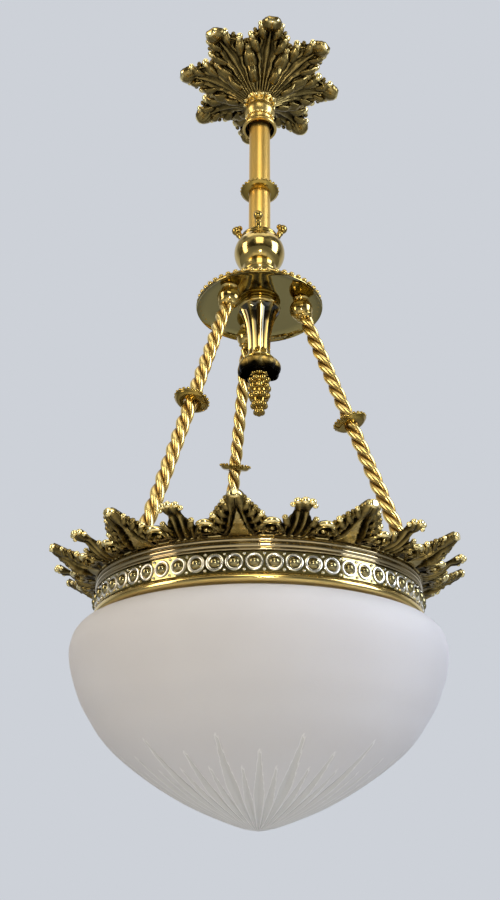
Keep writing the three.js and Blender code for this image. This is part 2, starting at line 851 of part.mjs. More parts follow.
function armFoot() {
  const ferrule = alongArm(
    turned(
      [
        [0, -ferruleDepth],
        ...shares(ferruleShares, ferruleRadius, ferruleDepth),
        [ferruleRadius * ferruleTopShare, -seatGap],
        [0, -seatGap],
      ],
      9,
    ),
  );
  const lugTop = armFootHeight - ferruleDepth * lugTopShare;
  const lug = block(
    lugInnerRadius,
    wallInnerRadius * Math.cos(Math.PI / bandSides) - seatGap - seatGap,
    -lugHalfWidth,
    lugHalfWidth,
    ledgeTop + seatGap,
    lugTop,
  );
  const shoulder = block(
    lugInnerRadius - seatGap,
    lugInnerRadius + lugShoulder,
    lugHalfWidth * lugScrewShare,
    lugHalfWidth + seatGap,
    ledgeTop + nutHeight + seatGap,
    lugTop + seatGap,
  );
  const screw = rod(nippleRadius, ledgeTop + nutHeight, ledgeTop + nutHeight * 2, 6);
  const notch = alongArm(block(-wireBore, wireBore, 0, ferruleRadius * 2, -ferruleDepth - seatGap, 0));
  const wireWay = alongArm(bore(wireBore, -ferruleDepth - seatGap, seatGap, 6));
  const shaved = cut(joined(ferrule, lug), shoulder, notch, wireWay);
  return joined(shaved, screw.translate(lugInnerRadius + nippleRadius, lugHalfWidth - seatGap, 0));
}

for (let k = 0; k < armCount; k += 1) {
  const arm = new THREE.Group();
  arm.rotation.z = armStep * k;
  pendant.add(arm);
  const lean = new THREE.Group();
  lean.position.set(armFootRadius, 0, armFootHeight);
  lean.rotation.y = armLean;
  arm.add(lean);
  put(arm, `arm_socket_${k + 1}`, armSocket(), brightBrass);
  put(lean, `rope_arm_${k + 1}`, ropeArm(), brightBrass);
  const disc = beadedDisc(rosetteRadius, rosetteThickness, armRadius + seatGap, rosetteTeeth);
  const rosette = put(lean, `arm_rosette_${k + 1}`, disc, brass);
  rosette.position.z = armLength * rosetteShare;
  put(arm, `arm_foot_${k + 1}`, armFoot(), brass);
}

// Gallery band: a roll below, a plain seat for the bead frieze, reeds above and a ledge inside
const friezeShares = [0.203, 0.672];
const [friezeBottom, friezeTop] = friezeShares.map((share) => share * galleryHeight);
const lipInset = 8.7;
const lipInnerRadius = galleryRadius - lipInset;
const lipThickness = 4;
const bandShares = [
  [1, 0],
  [1.006, 0.09],
  [0.99, 0.19],
];
const bandTopShares = [
  [0.994, 0.69],
  [1.006, 0.75],
  [0.993, 0.82],
  [1.008, 0.91],
  [0.99, 1],
];
const catchInset = 7;
const catchCircle = ledgeRadius + catchInset;
const catchPinRadius = 1.2;
function galleryBand() {
  const profile = [
    [lipInnerRadius, 0],
    ...shares(bandShares, galleryRadius, galleryHeight),
    [wallOuterRadius, friezeBottom - seatGap],
    [wallOuterRadius, friezeTop + seatGap],
    ...shares(bandTopShares, galleryRadius, galleryHeight),
    [wallInnerRadius, galleryHeight],
    [wallInnerRadius, ledgeTop],
    [ledgeRadius, ledgeTop],
    [ledgeRadius, ledgeTop - ledgeThickness],
    [wallInnerRadius, ledgeTop - ledgeThickness],
    [wallInnerRadius, lipThickness],
    [lipInnerRadius, lipThickness],
  ];
  const holes = aroundArms(() =>
    bore(catchPinRadius + seatGap, ledgeTop - ledgeThickness - seatGap, ledgeTop + seatGap, 6)
      .translate(catchCircle, 0, 0)
      .rotateZ(catchStart),
  );
  return cut(turned(profile, bandSides), ...holes);
}
put(pendant, 'gallery_band', galleryBand(), brightBrass);

// Bead frieze: sixty round beads struck in one strip
const friezeCount = 60;
const friezeStart = (0.2 * Math.PI) / 180;
const friezeStrip = 0.9;
const friezeBack = (wallOuterRadius + seatGap) / Math.cos(Math.PI / friezeCount);
const friezeFace = friezeBack + friezeStrip;
const friezeBeadRise = 3.3;
const friezeDomeRise = 2.4;
const friezeDomeShare = 0.78;
function beadFrieze() {
  const half = (friezeTop - friezeBottom) / 2;
  const middle = friezeBottom + half;
  const step = fullTurn / friezeCount;
  const positions = [];
  const index = [];
  const point = (turn, radius, height) => {
    positions.push(radius * Math.cos(turn), radius * Math.sin(turn), height);
    return positions.length / 3 - 1;
  };
  for (let k = 0; k < friezeCount; k += 1) {
    const centre = friezeStart + k * step;
    const spots = [
      [1, 1],
      [0, 1],
      [-1, 1],
      [-1, -1],
      [0, -1],
      [1, -1],
    ];
    const border = spots.map(([x, y]) => point(centre + (x * step) / 2, friezeFace, middle + y * half));
    const loop = (share, radius) =>
      spots.map(([x, y]) => {
        const [across, up] = x ? [Math.cos(Math.PI / 6), Math.sin(Math.PI / 6)] : [0, 1];
        return point(centre + (x * across * share * step) / 2, radius, middle + y * up * share * half);
      });
    const dome = loop(friezeDomeShare, friezeFace + friezeDomeRise);
    const top = point(centre, friezeFace + friezeBeadRise, middle);
    for (let j = 0; j < 6; j += 1) {
      const n = (j + 1) % 6;
      index.push(border[j], border[n], dome[n], border[j], dome[n], dome[j], dome[j], dome[n], top);
    }
    const right = centre + step / 2;
    const left = centre - step / 2;
    const [rt, lt, lb, rb] = [
      point(right, friezeBack, friezeTop),
      point(left, friezeBack, friezeTop),
      point(left, friezeBack, friezeBottom),
      point(right, friezeBack, friezeBottom),
    ];
    index.push(rt, rb, lb, rt, lb, lt);
    index.push(border[0], rt, border[1], border[1], rt, lt, border[1], lt, border[2]);
    index.push(border[3], lb, border[4], border[4], lb, rb, border[4], rb, border[5]);
  }
  const geometry = new THREE.BufferGeometry();
  geometry.setAttribute('position', new THREE.BufferAttribute(new Float32Array(positions), 3));
  geometry.setIndex(index);
  return welded(geometry);
}
put(pendant, 'bead_frieze', beadFrieze(), brightBrass);

// Coronet: eleven castings side by side, each with a broad leaf, a narrow leaf and two scrolls
const crestInset = 1.7;
const crestFootRadius = galleryRadius - crestInset;
const crestFootHeight = galleryHeight + seatGap;
const crestReach = 41.7;
const crestRise = 19.9;
const crestThickness = 2.2;
const crestReliefDepth = 3;
const crestCurveShares = [0.94, 1.12];
const crestOutShares = [0.55, 0.8];
const crestBackShares = [0, 0.8, 0.8, 0.8];
const crestColumnShares = [
  [0, 0.46, 1.2, 1],
  [0.07, 0.38, 0.1, 0],
  [0.155, 0.84, 1.1, 0.5],
  [0.25, 1, -0.3, 1.6],
  [0.345, 0.84, 1.1, 0.5],
  [0.43, 0.38, 0.1, 0],
  [0.5, 0.46, 1.2, 1],
  [0.575, 0.36, 0.1, 0],
  [0.655, 0.68, 0.4, 0.2],
  [0.695, 0.93, 0.5, 1.3],
  [0.75, 0.97, 1.2, 1.7],
  [0.805, 0.93, 0.5, 1.3],
  [0.845, 0.68, 0.4, 0.2],
  [0.925, 0.36, 0.1, 0],
  [1, 0.46, 1.2, 1],
];
const crestLeadShare = 0.25;
const crestRowShares = [0, 0.42, 0.82, 1];
const crestTipShare = 0.4;
const crestInShare = 0.55;
function crestPoint(turn, along, out) {
  const [lean, rise] = crestCurveShares.map((share) => along ** share);
  const [outward, down] = crestOutShares.map((share) => share * out);
  const radius = crestFootRadius + crestReach * lean + outward;
  const height = crestFootHeight + crestRise * rise - down;
  return new THREE.Vector3(radius * Math.cos(turn), radius * Math.sin(turn), height);
}
function crestCasting() {
  const gapTurn = seatGap / crestFootRadius / 2;
  const edgeOf = (share) => (share === 0 ? gapTurn : 0) - (share === 1 ? gapTurn : 0);
  const turnOf = (share) => (share - crestLeadShare) * crestStep + edgeOf(share);
  const face = [];
  const back = [];
  crestRowShares.forEach((row, i) => {
    const swellOf = ([, , middle, tip]) => crestReliefDepth * [0, middle, tip, tip * crestTipShare][i];
    const backOf = ([, , , tip]) => crestThickness * (i === 2 ? Math.max(1, tip) : 1) * crestBackShares[i];
    face.push(
      crestColumnShares.map((column) => crestPoint(turnOf(column[0]), row * column[1], swellOf(column))),
    );
    back.push(
      crestColumnShares.map((column) => {
        const p = crestPoint(turnOf(column[0]), row * column[1], 0);
        const inward = 1 - (crestThickness * crestInShare) / Math.hypot(p.x, p.y);
        return new THREE.Vector3(p.x * inward, p.y * inward, p.z + backOf(column));
      }),
    );
  });
  return sheet(face, back);
}
for (let k = 0; k < crestCount; k += 1) {
  put(pendant, `coronet_casting_${k + 1}`, crestCasting(), castBrass).rotation.z = crestStart + crestStep * k;
}

// Glass bowl with a rim flange that stands on the turn catches
const neckInset = 3.8;
const rimWidth = 3;
const neckRadius = lipInnerRadius - neckInset;
const rimRadius = neckRadius + rimWidth;
const rimBottom = 10;
const rimTop = 13;
const bowlSides = bandSides;
const bowlShares = [
  [0, -1],
  [0.13, -0.972],
  [0.335, -0.897],
  [0.55, -0.782],
  [0.75, -0.641],
  [0.868, -0.5],
  [0.955, -0.345],
  [1, -0.18],
  [0.978, -0.08],
  [0.885, -0.016],
];
const bowlInnerShares = [
  [0.88, -0.05],
  [0.975, -0.11],
  [1, -0.19],
  [0.955, -0.345],
  [0.745, -0.63],
  [0.5, -0.785],
  [0.25, -0.905],
];
function glassBowl() {
  const outer = shares(bowlShares, bowlRadius, bowlDepth);
  const neck = [
    [lipInnerRadius * Math.cos(Math.PI / bandSides) - seatGap, -seatGap],
    [neckRadius, bowlWall / 2],
    [neckRadius, rimBottom],
    [rimRadius, rimBottom],
    [rimRadius, rimTop],
    [neckRadius - bowlWall, rimTop],
    [neckRadius - bowlWall, 0],
  ];
  const inner = shares(bowlInnerShares, bowlRadius - bowlWall, bowlDepth);
  return turned([...outer, ...neck, ...inner, [0, -bowlDepth + bowlWall]], bowlSides);
}
put(pendant, 'glass_bowl', glassBowl(), frosted);

// Turn catches: a knob above the ledge, a pin through it and a tongue under the bowl's rim
const catchKnobRadius = 3.8;
const catchKnobHeight = 3.6;
const catchKnobBottom = galleryHeight + seatGap + seatGap;
const catchCollarRadius = 1.9;
const catchCollarHeight = 1.6;
const catchTongueLength = catchCircle - neckRadius - seatGap - seatGap;
const catchTongueHalf = 1.5;
const catchTongueThickness = 2.6;
const tongueTop = rimBottom - seatGap;
function bowlCatch() {
  const tongueFoot = tongueTop - catchTongueThickness;
  const knob = rod(catchKnobRadius, catchKnobBottom, catchKnobBottom + catchKnobHeight, 8);
  const collar = rod(catchCollarRadius, ledgeTop + seatGap, ledgeTop + seatGap + catchCollarHeight, 6);
  const pin = rod(catchPinRadius, tongueFoot, catchKnobBottom + seatGap, 6);
  const tongue = block(-catchTongueLength, 0, -catchTongueHalf, catchTongueHalf, tongueFoot, tongueTop);
  const heel = rod(catchTongueHalf, tongueFoot, tongueTop, 6);
  return joined(knob, collar, pin, tongue, heel);
}
for (let k = 0; k < armCount; k += 1) {
  const spot = new THREE.Group();
  spot.rotation.z = catchStart + armStep * k;
  pendant.add(spot);
  put(spot, `bowl_catch_${k + 1}`, bowlCatch(), brass).position.x = catchCircle;
}

// Lamp bar across the ledge with its holder and lamp
const barHalfWidth = 7;
const barThickness = 3;
const barInset = 1.7;
const barReach = wallInnerRadius - barInset;
const barBottom = ledgeTop + seatGap;
const barTop = barBottom + barThickness;
const barScrewInset = 3.5;
const barScrewCircle = barReach - barScrewInset;
const barScrewRadius = 3;
const barScrewHead = 1.8;
const holderNipple = 5;
const holderNippleTop = 38;
const lampBar = joined(
  cut(
    block(-barReach, barReach, -barHalfWidth, barHalfWidth, barBottom, barTop),
    bore(holderNipple + seatGap, barBottom - seatGap, barTop + seatGap, 10),
  ),
  ...[-1, 1].map((side) =>
    rod(barScrewRadius, barTop - seatGap, barTop + barScrewHead, 8).translate(side * barScrewCircle, 0, 0),
  ),
);
put(pendant, 'lamp_bar', lampBar, brass).rotation.z = lampBarTurn;

const holderRadius = 14.5;
const holderTop = barBottom - seatGap;
const holderFoot = -20;
const skirtInner = 11.7;
const skirtOuter = 13.2;
const socketFloor = -1;
const capRadius = 11.2;
const lampPinRadius = 1;
const lampPinHeight = -12;
const lampPinReach = 12.9;
const slotTurn = 24;
const slotEdgeTurn = 8;
const slotHalfHeight = 1.6;
const holderCrownShares = [
  [0.62, 0],
  [1, -0.5],
];
const holderNutRadius = 7.8;
function slotAngle(from, to, bottom, top) {
  const shape = new THREE.Shape();
  const [a, b] = [(from * Math.PI) / 180, (to * Math.PI) / 180];
  shape.absarc(0, 0, holderRadius + lampPinRadius, a, b, false);
  shape.absarc(0, 0, skirtInner - lampPinRadius, b, a, true);
  const settings = { depth: top - bottom, bevelEnabled: false, curveSegments: 2 };
  return new THREE.ExtrudeGeometry(shape, settings).translate(0, 0, bottom);
}
function lampHolder() {
  const body = turned(
    [
      [0, holderTop],
      ...shares(holderCrownShares, holderRadius, holderRadius).map(([r, h]) => [r, h + holderTop]),
      [holderRadius, socketFloor],
      [skirtOuter, socketFloor - seatGap],
      [skirtOuter, holderFoot],
      [skirtInner, holderFoot],
      [skirtInner, socketFloor],
      [0, socketFloor],
    ],
    14,
  );
  const nipple = rod(holderNipple, holderTop - barThickness, holderNippleTop, 8);
  const nut = rod(holderNutRadius, barTop + seatGap, barTop + nutHeight, 6);
  const wireWay = bore(wireBore, holderTop - holderRadius / 2, holderNippleTop + seatGap, 6);
  const [slotFoot, slotTop] = [lampPinHeight - slotHalfHeight, lampPinHeight + slotHalfHeight];
  const slots = [0, 180].flatMap((side) => {
    const [from, to] = [side - slotEdgeTurn, side + slotTurn + slotEdgeTurn];
    return [
      slotAngle(from, to, slotFoot, slotTop),
      slotAngle(to - slotEdgeTurn * 2, to, holderFoot - seatGap, lampPinHeight),
    ];
  });
  return cut(joined(body, nipple, nut), wireWay, ...slots);
}
put(pendant, 'lamp_holder', lampHolder(), brass);

const lampRadius = 30;
const lampCentre = -72;
const lampTop = socketFloor - seatGap;
const lampCapShares = [
  [0, 0],
  [0.8, 0],
  [1, -0.3],
];
const lampNeckShares = [
  [1, 0],
  [1.25, -0.03],
  [1.35, -0.8],
];
const lampShoulder = (48 * Math.PI) / 180;
const lampRings = 5;
function lamp() {
  const cap = shares(lampCapShares, capRadius, capRadius).map(([r, h]) => [r, h + lampTop]);
  const neck = shares(lampNeckShares, capRadius, capRadius).map(([r, h]) => [r, h + holderFoot - seatGap]);
  const profile = [...cap, ...neck];
  for (let j = 0; j <= lampRings; j += 1) {
    const turn = lampShoulder - ((lampShoulder + fullTurn / 4) * j) / lampRings;
    const reach = j === lampRings ? 0 : lampRadius * Math.cos(turn);
    profile.push([reach, lampCentre + lampRadius * Math.sin(turn)]);
  }
  const pins = rod(lampPinRadius, -lampPinReach, lampPinReach, 6)
    .rotateY(Math.PI / 2)
    .translate(0, 0, lampPinHeight);
  return joined(turned(profile, 12), pins);
}
put(pendant, 'lamp', lamp(), lampGlass);

// Flex from the top of the stem through the ball, plate and first arm to the lamp holder
const flexEasing = 34;
function innerFlex() {
  const polar = (radius, degrees, height) => {
    const turn = (degrees * Math.PI) / 180;
    return new THREE.Vector3(radius * Math.cos(turn), radius * Math.sin(turn), height);
  };
  const onArm = (along, side = 0) =>
    new THREE.Vector3(along * Math.sin(armLean), side, along * Math.cos(armLean)).add(
      new THREE.Vector3(armFootRadius, 0, armFootHeight),
    );
  const bend = wireRadius * 3;
  const overNut = plateFlatHeight + plateSkin + nutHeight + nippleRise + wireRadius * 1.7;
  const barTurnDegrees = (lampBarTurn * 180) / Math.PI;
  const onBar = barTop + seatGap + wireRadius;
  const path = [
    new THREE.Vector3(wireOffset, wireOffset, stemForkRootTop + seatGap),
    new THREE.Vector3(wireOffset, wireOffset, stemTopHeight - bend),
    new THREE.Vector3(0, 0, stemTopHeight - flexEasing),
    new THREE.Vector3(0, 0, (stemTopHeight + plateTop) / 2),
    new THREE.Vector3(0, 0, stemFootHeight - bend),
    new THREE.Vector3(0, 0, overNut),
    new THREE.Vector3(socketRadiusAt, 0, overNut),
    new THREE.Vector3(socketRadiusAt, 0, socketHeight),
    onArm(armLength / 2),
    onArm(bend),
    onArm(-wireRadius * 0.2),
    onArm(-ferruleDepth * 0.62, bend * 0.75),
    onArm(-ferruleDepth * 0.62, bend * 2.4),
    polar(armFootRadius - bend, 8, armFootHeight - wireRadius * 2),
    polar(wallInnerRadius - bend, 12.5, galleryHeight + wireRadius * 2),
    polar(ledgeRadius - bend, barTurnDegrees - 2, onBar + wireRadius),
    polar(ledgeRadius * 0.8, barTurnDegrees, onBar),
    polar(holderNipple * 2, barTurnDegrees, onBar),
    polar(holderNipple * 2, barTurnDegrees, holderNippleTop + bend),
    new THREE.Vector3(0, 0, holderNippleTop + bend),
    new THREE.Vector3(0, 0, holderTop),
  ];
  return wire(path, wireRadius, 4, bend);
}
put(pendant, 'inner_flex', innerFlex(), flexCover);

export default object;
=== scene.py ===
# Bowl chandelier: brass castings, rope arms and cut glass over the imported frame
import math

import bmesh
import bpy
from mathutils import Matrix, Vector


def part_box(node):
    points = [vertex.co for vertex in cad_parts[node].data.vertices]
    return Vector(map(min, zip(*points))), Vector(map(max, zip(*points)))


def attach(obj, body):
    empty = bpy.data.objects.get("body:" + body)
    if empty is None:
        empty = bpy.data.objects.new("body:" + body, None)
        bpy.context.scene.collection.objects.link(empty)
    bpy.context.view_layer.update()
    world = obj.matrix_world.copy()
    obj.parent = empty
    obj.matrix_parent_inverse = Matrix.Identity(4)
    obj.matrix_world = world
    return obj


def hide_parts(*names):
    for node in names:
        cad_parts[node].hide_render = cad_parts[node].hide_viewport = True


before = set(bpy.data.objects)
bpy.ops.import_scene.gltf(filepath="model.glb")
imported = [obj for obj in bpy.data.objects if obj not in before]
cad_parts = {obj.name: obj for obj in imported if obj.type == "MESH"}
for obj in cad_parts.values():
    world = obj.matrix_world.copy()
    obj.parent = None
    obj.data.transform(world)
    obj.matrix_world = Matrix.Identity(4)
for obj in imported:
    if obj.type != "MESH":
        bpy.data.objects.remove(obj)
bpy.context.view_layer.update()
print("frame loaded:", len(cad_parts), "nodes")

mm = 0.001
tau = math.tau
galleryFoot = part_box("gallery_band")[0].z  # every height below is in mm above this edge


# colours and node helper


def hexColour(code):
    parts = [int(code[i : i + 2], 16) / 255 for i in (1, 3, 5)]
    return [c / 12.92 if c <= 0.04045 else ((c + 0.055) / 1.055) ** 2.4 for c in parts] + [1.0]


def firstSocket(source):
    return source.outputs[0] if isinstance(source, bpy.types.Node) else source


def addNode(tree, kind, inputs=None, **settings):
    # a node given as an input stands for its first output
    node = tree.nodes.new(kind)
    for key, value in settings.items():
        setattr(node, key, value)
    for key, source in (inputs or {}).items():
        value = firstSocket(source)
        if isinstance(value, bpy.types.NodeSocket):
            tree.links.new(value, node.inputs[key])
        else:
            node.inputs[key].default_value = value
    return node


def newFinish(name, values):
    finish = bpy.data.materials.new(name)
    finish.use_nodes = True
    tree = finish.node_tree
    tree.nodes.clear()
    shader = addNode(tree, "ShaderNodeBsdfPrincipled", values)
    addNode(tree, "ShaderNodeOutputMaterial", {"Surface": shader})
    spot = addNode(tree, "ShaderNodeTexCoord").outputs["Object"]
    return finish, tree, shader, spot


def feed(tree, shader, **sources):
    for name, source in sources.items():
        tree.links.new(firstSocket(source), shader.inputs[name.replace("_", " ")])


def setStops(ramp, pairs):
    # (position, colour) pairs; the first two take the ramp's own stops
    stops = ramp.color_ramp.elements
    for stop, (position, code) in zip(stops, pairs[:2]):
        stop.position = position
        stop.color = hexColour(code)
    for position, code in pairs[2:]:
        stops.new(position).color = hexColour(code)


# finishes


def brassFinish(name, dull, bright, patch, depth, rough, grain=2.0):
    # lacquered brass: mirror-like, with faint handling marks and warmer, duller patches, sizes in mm
    finish, tree, shader, spot = newFinish(name, {"Metallic": 1.0})
    cloud = addNode(tree, "ShaderNodeTexNoise", {"Vector": spot, "Scale": 1 / (patch * mm), "Detail": 4.0})
    marks = addNode(tree, "ShaderNodeTexNoise", {"Vector": spot, "Scale": 1 / (grain * mm), "Detail": 2.0})
    colours = {0: cloud, 6: hexColour(dull), 7: hexColour(bright)}
    tone = addNode(tree, "ShaderNodeMix", colours, data_type="RGBA")
    spread = {"Value": cloud, "From Min": 0.3, "From Max": 0.7, "To Min": rough[0], "To Max": rough[1]}
    sheen = addNode(tree, "ShaderNodeMapRange", spread)
    # real polishing marks are under 0.1 mm wide, too fine to show, so they are drawn as 2 to 3 mm dimples
    bump = addNode(tree, "ShaderNodeBump", {"Height": marks, "Distance": depth * mm, "Strength": 0.5})
    feed(tree, shader, Base_Color=tone.outputs[2], Roughness=sheen, Normal=bump)
    return finish


def castFinish(name, hollow, face, tip, patch, pit, depth, rough):
    # cast brass with painted shade in its hollows and painted highlights on its tips; relief is painted on
    # the casting
    finish, tree, shader, spot = newFinish(name, {"Metallic": 1.0})
    relief = addNode(tree, "ShaderNodeAttribute", attribute_name="relief")
    cloud = addNode(tree, "ShaderNodeTexNoise", {"Vector": spot, "Scale": 1 / (patch * mm), "Detail": 5.0})
    pits = addNode(tree, "ShaderNodeTexNoise", {"Vector": spot, "Scale": 1 / (pit * mm), "Detail": 3.0})
    # relief gives the painted shade and painted highlights, with random patches added
    paintedLightAndPatches = addNode(
        tree, "ShaderNodeMath", {0: cloud, 1: 0.35, 2: relief.outputs["Fac"]}, operation="MULTIPLY_ADD"
    )
    ramp = addNode(tree, "ShaderNodeValToRGB", {"Fac": paintedLightAndPatches})
    setStops(ramp, [(0.2, hollow), (1.0, tip), (0.62, face)])
    spread = {"Value": paintedLightAndPatches, "From Min": 0.25, "From Max": 1.0, "To Min": rough[0], "To Max": rough[1]}
    sheen = addNode(tree, "ShaderNodeMapRange", spread)
    # sand leaves grain of about 0.3 mm, too fine to show, so it is drawn ten to twenty times as wide
    bump = addNode(tree, "ShaderNodeBump", {"Height": pits, "Distance": depth * mm, "Strength": 0.6})
    feed(tree, shader, Base_Color=ramp, Roughness=sheen, Normal=bump)
    return finish


# turned and polished: crisp bands of light and dark
polishedBrass = brassFinish("polishedBrass", "#B89C52", "#E0C680", patch=30, depth=0.02, rough=(0.18, 0.08))
# burnished sheet: close to a mirror, a little grey
mirrorBrass = brassFinish(
    "mirrorBrass", "#A4975E", "#B6A872", patch=60, depth=0.006, rough=(0.08, 0.04), grain=3.0
)
# satin lacquered tube: a soft warm glow
goldBrass = brassFinish("goldBrass", "#ECBA58", "#FFDA80", patch=40, depth=0.006, rough=(0.38, 0.3))
# raised rings: pale, almost silver, a painted reflection
silveryBrass = brassFinish("silveryBrass", "#D2CDBA", "#F4F1E6", patch=34, depth=0.012, rough=(0.34, 0.2))
# polished brass, darker than the rest
antiqueBrass = brassFinish("antiqueBrass", "#8E7638", "#C4A85A", patch=26, depth=0.01, rough=(0.2, 0.1))
# spun reeds: glossy and pale
paleBrass = brassFinish("paleBrass", "#94866A", "#CCB98C", patch=30, depth=0.006, rough=(0.11, 0.05))
# pressed beads: grey-green, each with a small highlight
beadBrass = brassFinish("beadBrass", "#877C56", "#AAA074", patch=40, depth=0.004, rough=(0.24, 0.16))
# spun roll: bright and warm
rollBrass = brassFinish("rollBrass", "#D9B868", "#F4DC94", patch=40, depth=0.006, rough=(0.2, 0.12))
# sand-cast leaves: painted shade in their folds and painted highlights on their tips
castBrass = castFinish(
    "castBrass", "#211B0B", "#9A8650", "#FFEBA6", patch=7, pit=5.0, depth=0.5, rough=(0.36, 0.14)
)
# twisted bar: painted shade in its grooves and painted highlights along its strands' crests
ropeBrass = castFinish(
    "ropeBrass", "#33240F", "#B48E48", "#FFE08C", patch=30, pit=3.0, depth=0.01, rough=(0.5, 0.24)
)
# cups: a painted highlight above, and black painted shade where they face down
shadedBrass = castFinish(
    "shadedBrass", "#0B0904", "#D6B666", "#F8E29A", patch=24, pit=3.0, depth=0.02, rough=(0.5, 0.2)
)
# polished flutes, with painted grey shade between them and painted highlights on their ribs
flutedBrass = castFinish(
    "flutedBrass", "#4A4A48", "#A08C56", "#F6D888", patch=40, pit=6.0, depth=0.02, rough=(0.1, 0.14)
)


def steelFinish():
    # zinc-plated steel: grey, softly blotched, hardly any colour
    finish, tree, shader, spot = newFinish("zincSteel", {"Metallic": 1.0})
    spangle = addNode(tree, "ShaderNodeTexVoronoi", {"Vector": spot, "Scale": 1 / (3.5 * mm)})
    colours = {0: spangle, 6: hexColour("#8C8B86"), 7: hexColour("#A9A8A2")}
    tone = addNode(tree, "ShaderNodeMix", colours, data_type="RGBA")
    rough = addNode(tree, "ShaderNodeMapRange", {"Value": spangle, "To Min": 0.32, "To Max": 0.45})
    feed(tree, shader, Base_Color=tone.outputs[2], Roughness=rough)
    return finish


def frostedFinish():
    # acid-frosted glass: milky satin, and clear facets where the star is cut through it, painted white as a
    # painted highlight
    body = {
        "IOR": 1.5,
        "Specular IOR Level": 0.35,
        "Subsurface Weight": 0.85,
        "Subsurface Radius": (1.0, 1.0, 1.0),
        "Subsurface Scale": 14 * mm,
    }
    finish, tree, shader, spot = newFinish("frostedGlass", body)
    cut = addNode(tree, "ShaderNodeAttribute", attribute_name="cut")
    # the etched grain is about 0.05 mm, too fine to show, so it is drawn as 0.9 mm
    grain = addNode(tree, "ShaderNodeTexNoise", {"Vector": spot, "Scale": 1 / (0.9 * mm), "Detail": 3.0})
    veil = addNode(tree, "ShaderNodeTexNoise", {"Vector": spot, "Scale": 1 / (70 * mm), "Detail": 2.0})
    milky = {0: veil, 6: hexColour("#C9C7CA"), 7: hexColour("#D2D2D6")}
    satin = addNode(tree, "ShaderNodeMix", milky, data_type="RGBA")
    # the cuts are mixed towards white, a painted highlight over their real clear finish
    cutPaintedWhite = {0: cut.outputs["Fac"], 6: satin.outputs[2], 7: hexColour("#FFFFFF")}
    tone = addNode(tree, "ShaderNodeMix", cutPaintedWhite, data_type="RGBA")
    rough = addNode(
        tree, "ShaderNodeMapRange", {"Value": cut.outputs["Fac"], "To Min": 0.6, "To Max": 0.06}
    )
    deep = addNode(tree, "ShaderNodeMath", {0: 1.0, 1: cut.outputs["Fac"]}, operation="SUBTRACT")
    bump = addNode(tree, "ShaderNodeBump", {"Height": grain, "Distance": 0.05 * mm, "Strength": deep})
    clear = addNode(
        tree, "ShaderNodeMapRange", {"Value": cut.outputs["Fac"], "To Min": 0.04, "To Max": 0.32}
    )
    feed(tree, shader, Base_Color=tone.outputs[2], Roughness=rough, Normal=bump, Transmission_Weight=clear)
    return finish


def plainFinish(name, code, other, patch, roughness):
    # an even surface clouded by two near colours, in patches of so many mm
    finish, tree, shader, spot = newFinish(name, {"Roughness": roughness})
    cloud = addNode(tree, "ShaderNodeTexNoise", {"Vector": spot, "Scale": 1 / (patch * mm), "Detail": 3.0})
    colours = {0: cloud, 6: hexColour(code), 7: hexColour(other)}
    tone = addNode(tree, "ShaderNodeMix", colours, data_type="RGBA")
    feed(tree, shader, Base_Color=tone.outputs[2])
    return finish


zincSteel = steelFinish()
frostedGlass = frostedFinish()
# blown glass, etched inside: an even milky white, smooth outside
pearlLampGlass = plainFinish("pearlLampGlass", "#EFEBE0", "#F6F3EA", 18, 0.3)
# moulded insulator: cream, with a dull sheen
creamMoulding = plainFinish("creamMoulding", "#D9D2C0", "#E4DDCC", 12, 0.45)
# woven cotton over rubber: matt, flecked at the braid's 1.5 mm pitch
cottonBraid = plainFinish("cottonBraid", "#6E5327", "#8F6E38", 1.5, 0.85)
print("finishes made")


# mesh helpers


def meshFrom(name, parts, painted="relief"):
    # one mesh of (points, faces, values) parts, with the values painted on its points for the finish
    verts, faces, values = [], [], []
    for partVerts, partFaces, partValues in parts:
        start = len(verts)
        verts.extend(partVerts)
        faces.extend(tuple(start + k for k in face) for face in partFaces)
        values.extend(partValues or [0.5] * len(partVerts))
    mesh = bpy.data.meshes.new(name)
    mesh.from_pydata([tuple(v) for v in verts], [], faces)
    mesh.attributes.new(painted, "FLOAT", "POINT").data.foreach_set("value", values)
    tidyMesh(mesh)
    return mesh


def tidyMesh(mesh):
    shape = bmesh.new()
    shape.from_mesh(mesh)
    bmesh.ops.remove_doubles(shape, verts=shape.verts, dist=0.002 * mm)
    bmesh.ops.dissolve_degenerate(shape, edges=shape.edges, dist=0.001 * mm)
    bmesh.ops.recalc_face_normals(shape, faces=shape.faces)
    shape.to_mesh(mesh)
    shape.free()


def addObject(name, data):
    thing = bpy.data.objects.new(name, data)
    bpy.context.collection.objects.link(thing)
    return thing


def joinMeshes(name, meshes):
    shape = bmesh.new()
    for mesh in meshes:
        shape.from_mesh(mesh)
    joined = bpy.data.meshes.new(name)
    shape.to_mesh(joined)
    shape.free()
    return joined


def addPiece(name, mesh, finish, body, nodes=(), crease=38):
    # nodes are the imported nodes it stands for; edges sharper than crease, in degrees, stay sharp
    mesh.materials.clear()
    mesh.materials.append(finish)
    mesh.polygons.foreach_set("material_index", [0] * len(mesh.polygons))
    mesh.shade_smooth()
    mesh.set_sharp_from_angle(angle=math.radians(crease))
    mesh.name = name
    piece = addObject(name, mesh)
    if nodes:
        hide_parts(*nodes)
    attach(piece, body)
    return piece


def at(radius, turn, height):
    return Vector((radius * math.cos(turn) * mm, radius * math.sin(turn) * mm, galleryFoot + height * mm))


def upright(x, y, z):
    return Vector((x * mm, y * mm, galleryFoot + z * mm))


def arc(start, end, rise, steps=6):
    # points from start up to, not including, end, bowed to the left of the way there
    (r0, h0), (r1, h1) = start, end
    span = math.hypot(r1 - r0, h1 - h0)
    across = ((h0 - h1) / span, (r1 - r0) / span)
    points = []
    for i in range(steps):
        u = i / steps
        bow = 4 * u * (1 - u) * rise
        points.append((r0 + (r1 - r0) * u + across[0] * bow, h0 + (h1 - h0) * u + across[1] * bow))
    return points


